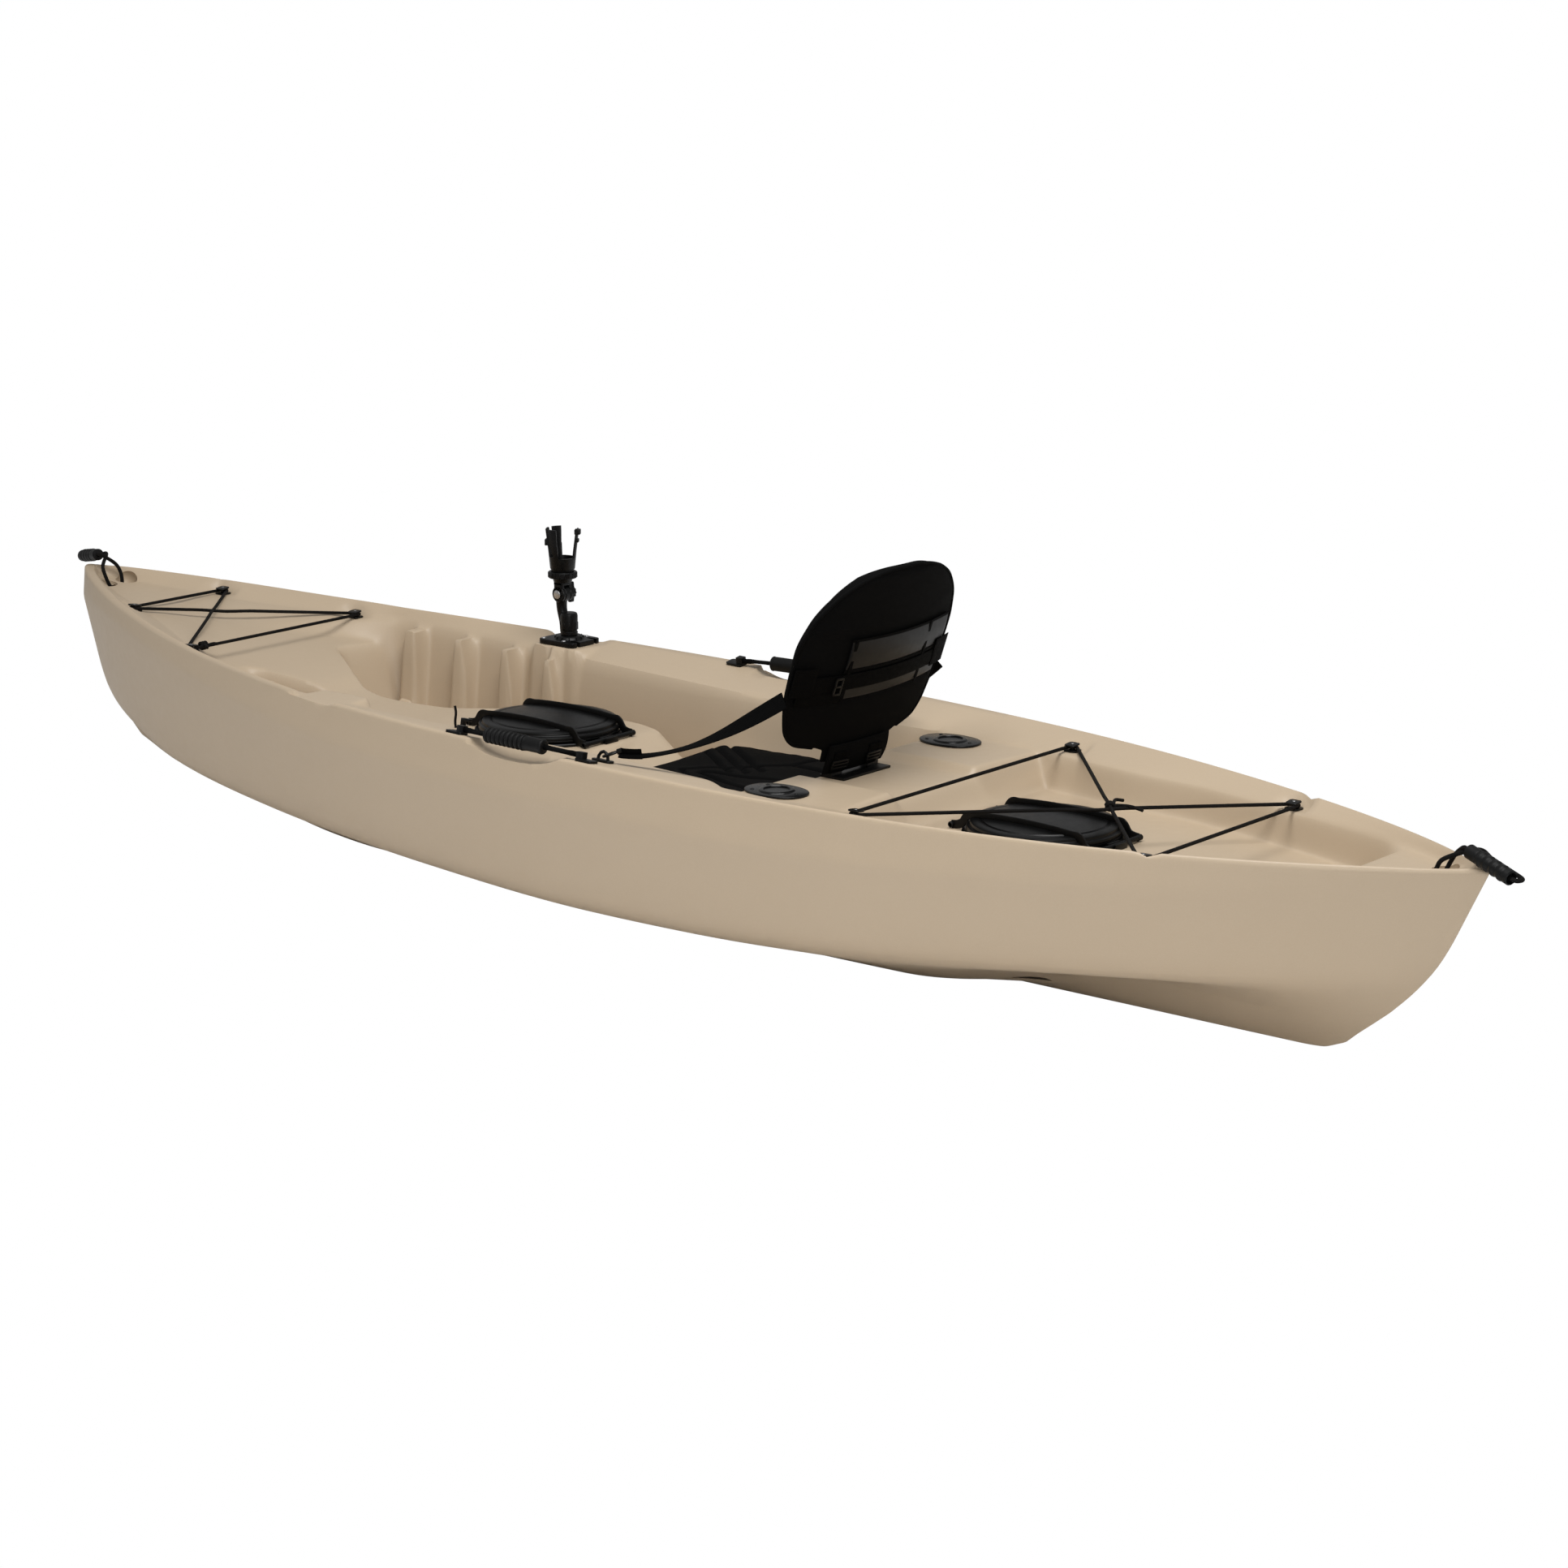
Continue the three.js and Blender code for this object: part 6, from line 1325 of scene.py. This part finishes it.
def addRodKnob():
    x, y, z = cradle["x"] - cradle["fore"], cradle["y"] + cradle["knobOut"], cradle["elbow"]
    hub = turnedMesh([[4.3, 0], [11, 0], [12, 1], [12, 9.6], [10.8, 11], [4.3, 11], [4.3, 0]], 40)
    hub = joined(hub, spun(lambda: rodMesh((11.6, 0, 0.6), (11.6, 0, 10.2), 1.5, 10, 0.4), 12))
    wing = plateMesh([(-3.2, -19), (3.2, -19), (4.4, -8), (4.4, 8), (3.2, 19), (-3.2, 19), (-4.4, 8),
                      (-4.4, -8)], 3, 14, 1.6, 3)
    wing = cutAway(wing, [cylinder(4.4, -1, 8, 24)])
    outward = Matrix.Rotation(math.radians(-90), 4, "X")
    finishPiece("rod_knob_look", moved(joined(hub, wing), frameAt((x, y, z)) @ outward), "black_plastic",
                "rod_holder_knob", sharp=34)


addRodBase()
addRodPost()
addCradle()
addLockRing()
addRodKnob()
recast("rod_holder_bolt", bevel=0.3)
print("rod holder")


# Carry handles

# gripFrom and gripTo count the route's 64 steps
grab = dict(
    ends=((-188.3, 360.2, 341.5), (84.6, 360.4, 338.0)), straight=16, rise=4, out=12, archShare=0.75,
    core=3.0, strapHalf=10, strapThick=4.6, gripFrom=14, gripTo=48, grip=13.4, ribs=9, ribDeep=5.2,
    ribbedShare=0.7, screws=(10, 5.6, 4.0),
)


def addCarryHandle(name, side):
    mirror = np.array([1, side, 1])
    start, stop = (np.array(place) * mirror for place in grab["ends"])
    along = unit(stop - start)
    fine = np.linspace(0, 1, 65)
    arch = np.sin(math.pi * fine).clip(0) ** grab["archShare"]
    lead = along * grab["straight"]
    inner = mix(start + lead, stop - lead, fine[:, None])
    inner = inner + arch[:, None] * np.array([0, side * grab["out"], grab["rise"]])
    route = np.concatenate([[start, start + along * 8], inner, [stop - along * 8, stop]])
    runs = np.linspace(0, 1, len(route))
    # the webbing is flat at both ends and round inside the grip
    flat = ease(runs, 0.05, 0.12) * (1 - ease(runs, 0.2, 0.26))
    flat = flat + ease(runs, 0.74, 0.8) * (1 - ease(runs, 0.88, 0.95))

    def section(t):
        share = float(np.interp(t, runs, flat))
        wide = mix(grab["core"] + 2, grab["strapHalf"], share)
        thin = mix(grab["core"] + 1.6, grab["strapThick"] / 2, share)
        turns = np.arange(24) * 2 * math.pi / 24
        power = mix(1.0, 0.55, share)
        across = np.sign(np.cos(turns)) * abs(np.cos(turns)) ** power
        return np.stack([across * wide, np.sin(turns) * thin], 1)

    webbing = gridMesh(sectionsAlong(route, section), closed=True)
    finishPiece(f"{name}_handle_strap_look", webbing, "webbing", f"{name}_handle_strap", sharp=60)

    held = spline(inner[grab["gripFrom"]:grab["gripTo"] + 1], 150)
    rings, split = grab["ribs"], grab["ribbedShare"]

    def radiusAt(t):
        ends = math.sqrt(max(0.0, 1 - (1 - min(t, 1 - t, 0.03) / 0.03) ** 2))
        swell = grab["grip"] - (1 - ends) * 3
        if t < split and side < 0 or t < 0.04:
            phase = math.cos(2 * math.pi * rings * t / split)
            return swell - grab["ribDeep"] * (0.5 + 0.5 * phase) ** 2
        return swell - 0.6 - 0.8 * ease(t, split, split + 0.03) * (1 - ease(t, 0.9, 0.97))

    grip = tubeAlong(held, radiusAt, 32)
    finishPiece(f"{name}_handle_grip_look", grip, "rubber", f"{name}_handle_grip", sharp=50)
    for end in ("front", "rear"):
        node = f"{name}_handle_{end}_socket"
        recast(node, bevel=0.9)
        seat = nodeFrame(node)
        outward, apart, high = grab["screws"]
        for k, away in enumerate((-1, 1)):
            place = seat @ frameAt((-outward if end == "front" else outward, away * apart, high))
            finishPiece(f"{node}_screw_{k}", moved(screwMesh(2.4, 1.3), place), "steel", body="hull")


for sideName, way in sides.items():
    addCarryHandle(sideName, way)
print("carry handles")


# End toggles

pull = dict(
    rope=3.5, grip=12.5, length=100, away=50, clear=3, down=20, aside=42, ridge=2, ridges=4, ridgeFrom=0.25,
    ridgeTo=0.88, gap=0.3,
)
ropeRise = [(0, 0.35, 0), (0.03, 0.6, 0.06), (0.18, 0.78, 0.56), (0.4, 0.62, 1)]
ropeTurn = (0.2, 0.8)


def addToggle(name, x, ahead):
    hole = deckAt(x) - hullHoles["ropeDrop"]
    rope, grip, length, away = pull["rope"], pull["grip"], pull["length"], pull["away"]

    def over(out):
        return float(sheerHeight(x + ahead * out)) + rope + pull["clear"]

    def place(out, across, height):
        return np.array([x + ahead * out, across, height], float)

    start = place(away, 0, over(away) + grip)
    direction = unit(np.array([ahead * length, -ahead * pull["aside"], -pull["down"]], float))
    beside = unit(-np.cross(direction, [0, 0, ahead]))
    offset = grip + rope + pull["gap"]

    def onLoop(along, out):
        return start + direction * along + beside * out

    def rising(side):
        return [place(out * away, side * across * hullHoles["pocketOut"], mix(hole, over(out * away), up))
                for out, across, up in ropeRise]

    def strand(out):
        return [onLoop(along, out) for along in np.linspace(0, length, 4)]

    turnBack = [onLoop(length + offset / 2, offset * share) for share in ropeTurn]
    knots = [*rising(1), onLoop(-grip, 0), *strand(0), *turnBack, *strand(offset)[::-1], *rising(-1)[::-1]]
    route = spline(knots, 180)
    loop = finishPiece(f"{name}_toggle_rope_look", tubeAlong(route, rope, 14), "cord", f"{name}_toggle_rope")
    ropeLength = float(lengthsAlong(route)[-1]) * mm
    print(f"{name} toggle rope {ropeLength:.3f} m")
    bore = rope + 2 * pull["gap"]
    ridged = [[bore, 0], [grip - 3.4, 0], [grip - 2.2, 1.4]]
    for t in np.linspace(0.02, 0.98, 90):
        share = (t - pull["ridgeFrom"]) / (pull["ridgeTo"] - pull["ridgeFrom"])
        wave = (0.5 - 0.5 * math.cos(2 * math.pi * pull["ridges"] * share)) if 0 < share < 1 else 0.35
        ridged.append([grip - pull["ridge"] + pull["ridge"] * wave, t * length])
    ridged += [[grip - 2.2, length - 1.4], [grip - 3.4, length], [9.4, length], [8.6, length - 1],
               [8.4, length - 9], [bore, length - 9.5], [bore, 0]]
    turn = Vector(direction).to_track_quat("Z", "Y").to_matrix()
    tubeBody = moved(turnedMesh(ridged, 40), frameAt(start, turn))
    finishPiece(f"{name}_toggle_grip_look", tubeBody, "rubber", f"{name}_toggle_grip", sharp=40)


addToggle("bow", hullHoles["bowX"], -1)
addToggle("stern", hullHoles["sternX"], 1)
print("end toggles")


# Shock cords and their clips

lace = dict(
    radius=3.0, foot=(13, 12), cap=(10.8, 10.2), thick=3, post=4, throat=7, gap=0.3, crossing=60, lean=7,
)
knotShape = dict(
    wraps=2.6, spread=5.6, out=5.7, wrapRadius=2.6, tailRadius=2.7, sternShare=0.56, bowShare=0.07,
)


def addClip(node):
    low, high = clipBoxes[node]
    x, y = (low.x + high.x) / 2 / mm, (low.y + high.y) / 2 / mm
    at = frameAt((x, y, low.z / mm))
    top = lace["thick"] + lace["throat"]
    post = lace["post"]
    foot = plateMesh(ovalOutline(*lace["foot"], 4.0, 32), 0, lace["thick"], 0.8)
    neck = turnedMesh([[0, 1], [post + 1.4, 2.6], [post, 4.6], [post, top - 1], [post + 1.6, top + 1],
                       [0, top + 1]], 24)
    cap = plateMesh(ovalOutline(*lace["cap"], 4.5, 32), top, top + 3, 1.1, 3)
    lean = Matrix.Rotation(math.radians(math.copysign(lace["lean"], y)), 4, "X")
    cap = moved(cap, frameAt((0, 0, 1.0)) @ lean @ frameAt((0, 0, -1.0)))
    finishPiece(f"{node}_look", moved(joined(foot, neck, cap), at), "black_plastic", node, sharp=34)
    screw = moved(screwMesh(2.6, 1.2), at @ frameAt((0, 0, top + 2.7)))
    finishPiece(f"{node}_screw", screw, "steel", body="hull")


def bungeeStops(end):
    # the four clips in the order the cord visits them, crossing the deck twice
    spots = {}
    for node, (low, high) in clipBoxes.items():
        side, place, row = node.split("_")[:3]
        if place == end:
            middle = np.array([(low.x + high.x) / 2, (low.y + high.y) / 2, low.z]) / mm
            spots[side, row] = middle + [0, 0, lace["thick"] + lace["throat"] / 2]
    return [spots[side, row] for row in ("front", "rear") for side in ("port", "starboard")]


def bungeeRoute(stops):
    radius = lace["post"] + 2 * lace["gap"] + lace["radius"]
    level = np.array([1, 1, 0])
    corners = []
    for i, stop in enumerate(stops):
        arriving = unit((stop - stops[i - 1]) * level)
        leaving = unit((stops[(i + 1) % 4] - stop) * level)
        out = unit(arriving - leaving)
        first = unit(out - arriving * np.dot(out, arriving))
        total = 2 * math.acos(np.clip(np.dot(first, out), -1, 1))
        axis = Vector(np.cross(first, out)).normalized()
        turns = [Quaternion(axis, total * k / 12) for k in range(13)]
        corners.append([stop + np.array(turn @ Vector(first)) * radius for turn in turns])
    middle = np.mean(stops, axis=0)
    route = []
    for i, corner in enumerate(corners):
        start, stop = corner[-1], corners[(i + 1) % 4][0]
        crossing = {1: 1, 3: -1}.get(i, 0)
        route += corner
        for t in np.arange(1, 40) / 40:
            here = mix(start, stop, t)
            near = min(math.hypot(*(here - middle)[:2]) / lace["crossing"], 1)
            here[2] += crossing * (lace["radius"] + lace["gap"]) * (1 + math.cos(math.pi * near)) / 2
            route.append(here)
    return np.array(route)


def addLacing(end):
    stops = bungeeStops(end)
    loop = tubeAlong(bungeeRoute(stops), lace["radius"], 12, closed=True)
    finishPiece(f"{end}_bungee_look", loop, "cord", f"{end}_bungee")
    return stops


def addKnot(name, start, stop, share, tails):
    # a tied end part way between two clips: wraps round the cord and the loose tails
    centre, ahead = mix(start, stop, share), unit(stop - start)
    across = unit(np.cross(ahead, [0, 0, 1]))
    lift = np.cross(across, ahead)
    wraps = []
    for t in np.linspace(0, knotShape["wraps"], 60):
        turn = 2 * math.pi * t
        coil = (across * math.cos(turn) + lift * math.sin(turn)) * knotShape["out"]
        wraps.append(centre + ahead * (t - knotShape["wraps"] / 2) * knotShape["spread"] + coil)
    knot = tubeAlong(np.array(wraps), knotShape["wrapRadius"], 10, up=tuple(ahead))
    for k, tail in enumerate(tails):
        route = spline([wraps[-1 if k else 0], *(centre + np.array(tail))], 26)
        knot = joined(knot, tubeAlong(route, knotShape["tailRadius"], 10, up=(0.13, 0.21, 1)))
    finishPiece(name, knot, "cord", body="hull", sharp=60)


for clipNode in clipBoxes:
    addClip(clipNode)
sternStops = addLacing("stern")
bowStops = addLacing("bow")
tails = [[(26, 10, 3), (52, 14, -1)], [(-8, 24, 4), (-4, 42, 1)]]
addKnot("stern_knot", sternStops[1], sternStops[2], knotShape["sternShare"], tails)
tails = [[(8, 16, 2), (2, 30, -1)], [(12, -6, 3), (22, -10, 0)]]
addKnot("bow_knot", bowStops[2], bowStops[3], knotShape["bowShare"], tails)
print("shock cords")


# Small fittings

padEye = dict(foot=(9, 20), thick=3, half=13.6, rise=15, bar=3.2)
hookCord = dict(radius=2.2, route=((-26, 2, 1), (-27, 2, 12), (-26, 3, 26), (-29, 4, 38)))


def addPadEye():
    seat = nodeFrame("rear_pad_eye")
    foot = plateMesh(ovalOutline(*padEye["foot"], 3.2, 40), 0, padEye["thick"], 0.8, 3)
    turns = np.linspace(0, math.pi, 33)
    along, up = padEye["half"] * np.cos(turns), padEye["thick"] / 2 + padEye["rise"] * np.sin(turns)
    loop = tubeAlong(np.stack([0 * turns, along, up], 1), padEye["bar"], 18, up=(1, 0, 0))
    eye = moved(joined(foot, loop), seat)
    finishPiece("rear_pad_eye_look", eye, "black_plastic", "rear_pad_eye", sharp=40)


def addPaddleHook():
    recast("paddle_hook", bevel=0.9)
    low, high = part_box("paddle_hook")
    base = np.array([(low.x + high.x) / 2, (low.y + high.y) / 2, low.z]) / mm
    stub = spline(base + np.array(hookCord["route"]), 30)
    bar = tubeAlong(stub, hookCord["radius"], 12, up=(0, 1, 0))
    tie = finishPiece("paddle_cord_stub", bar, "cord", body="hull")
    stubLength = float(lengthsAlong(stub)[-1]) * mm


addPadEye()
addPaddleHook()
print("small fittings")


# Camera, light and floor

# the camera was solved from the hull's outline and its fittings in the photograph; metres and degrees here
view = dict(
    place=(4.03927, -4.72256, 1.73963), yaw=39.04743, pitch=13.82699, roll=0.28192, lens=86.22, sensor=36.0,
)
# each light's name, place, target, size and power
lights = [
    ("overhead", (0.9, -0.6, 3.4), (0, 0, 0.2), (2.6, 1.4), 96),
    ("nearSide", (3.4, -3.6, 2.0), (0.2, 0, 0.2), (2.4, 1.8), 52),
    ("bowEnd", (-4.2, -1.6, 2.0), (-0.6, 0, 0.2), (2.2, 2.2), 12),
]
backdrop = dict(sky=0.93, skyPower=0.36, paper=0.9, paperRough=0.9, floorSize=14.0)


def addCamera():
    yaw, pitch, roll = (math.radians(view[turn]) for turn in ("yaw", "pitch", "roll"))
    back = Vector((math.sin(yaw) * math.cos(pitch), -math.cos(yaw) * math.cos(pitch), math.sin(pitch)))
    right = (-back).cross(Vector((0, 0, 1))).normalized()
    up = right.cross(-back)
    across = math.cos(roll) * right + math.sin(roll) * up
    above = -math.sin(roll) * right + math.cos(roll) * up
    turn = Matrix((across, above, back)).transposed().to_4x4()
    lens = bpy.data.cameras.new("camera")
    lens.lens, lens.sensor_width = view["lens"], view["sensor"]
    camera = bpy.data.objects.new("camera", lens)
    camera.matrix_world = Matrix.Translation(view["place"]) @ turn
    bpy.context.scene.collection.objects.link(camera)
    bpy.context.scene.camera = camera


def addLight(name, place, target, size, power):
    lamp = bpy.data.lights.new(name, "AREA")
    lamp.shape, lamp.size, lamp.size_y, lamp.energy = "RECTANGLE", size[0], size[1], power
    holder = bpy.data.objects.new(name, lamp)
    holder.location = place
    holder.rotation_euler = (Vector(target) - Vector(place)).to_track_quat("-Z", "Y").to_euler()
    bpy.context.scene.collection.objects.link(holder)


def cameraSees(tree, lit, seen, output):
    # one shader for light and reflections, another where the camera looks straight at it
    path = tree.nodes.new("ShaderNodeLightPath")
    chosen = tree.nodes.new("ShaderNodeMixShader")
    tree.links.new(path.outputs["Is Camera Ray"], chosen.inputs[0])
    tree.links.new(lit.outputs[0], chosen.inputs[1])
    tree.links.new(seen.outputs[0], chosen.inputs[2])
    tree.links.new(chosen.outputs[0], tree.nodes[output].inputs["Surface"])


def addStudio():
    world = bpy.data.worlds.new("studio")
    world.use_nodes = True
    bpy.context.scene.world = world
    tree = world.node_tree
    plain = tree.nodes["Background"]
    plain.inputs["Color"].default_value = shade(backdrop["sky"])
    plain.inputs["Strength"].default_value = backdrop["skyPower"]
    white = tree.nodes.new("ShaderNodeBackground")
    white.inputs["Color"].default_value = shade(1.0)
    white.inputs["Strength"].default_value = 1.0
    cameraSees(tree, plain, white, "World Output")
    for light in lights:
        addLight(*light)


def addFloor():
    bm = bmesh.new()
    bmesh.ops.create_grid(bm, x_segments=1, y_segments=1, size=backdrop["floorSize"])
    mesh = bpy.data.meshes.new("floor")
    bm.to_mesh(mesh)
    bm.free()
    paint = Finish("floorPaper", Base_Color=shade(backdrop["paper"]), Roughness=backdrop["paperRough"])
    glow = paint.tree.nodes.new("ShaderNodeEmission")
    glow.inputs["Color"].default_value = shade(1.0)
    cameraSees(paint.tree, paint.shader, glow, "Material Output")
    mesh.materials.append(paint.material)
    floor = bpy.data.objects.new("floor", mesh)
    bpy.context.scene.collection.objects.link(floor)


addCamera()
addStudio()
addFloor()
scene = bpy.context.scene
scene.view_settings.view_transform = "Standard"
scene.render.image_settings.color_mode = "RGB"
print("scene ready")
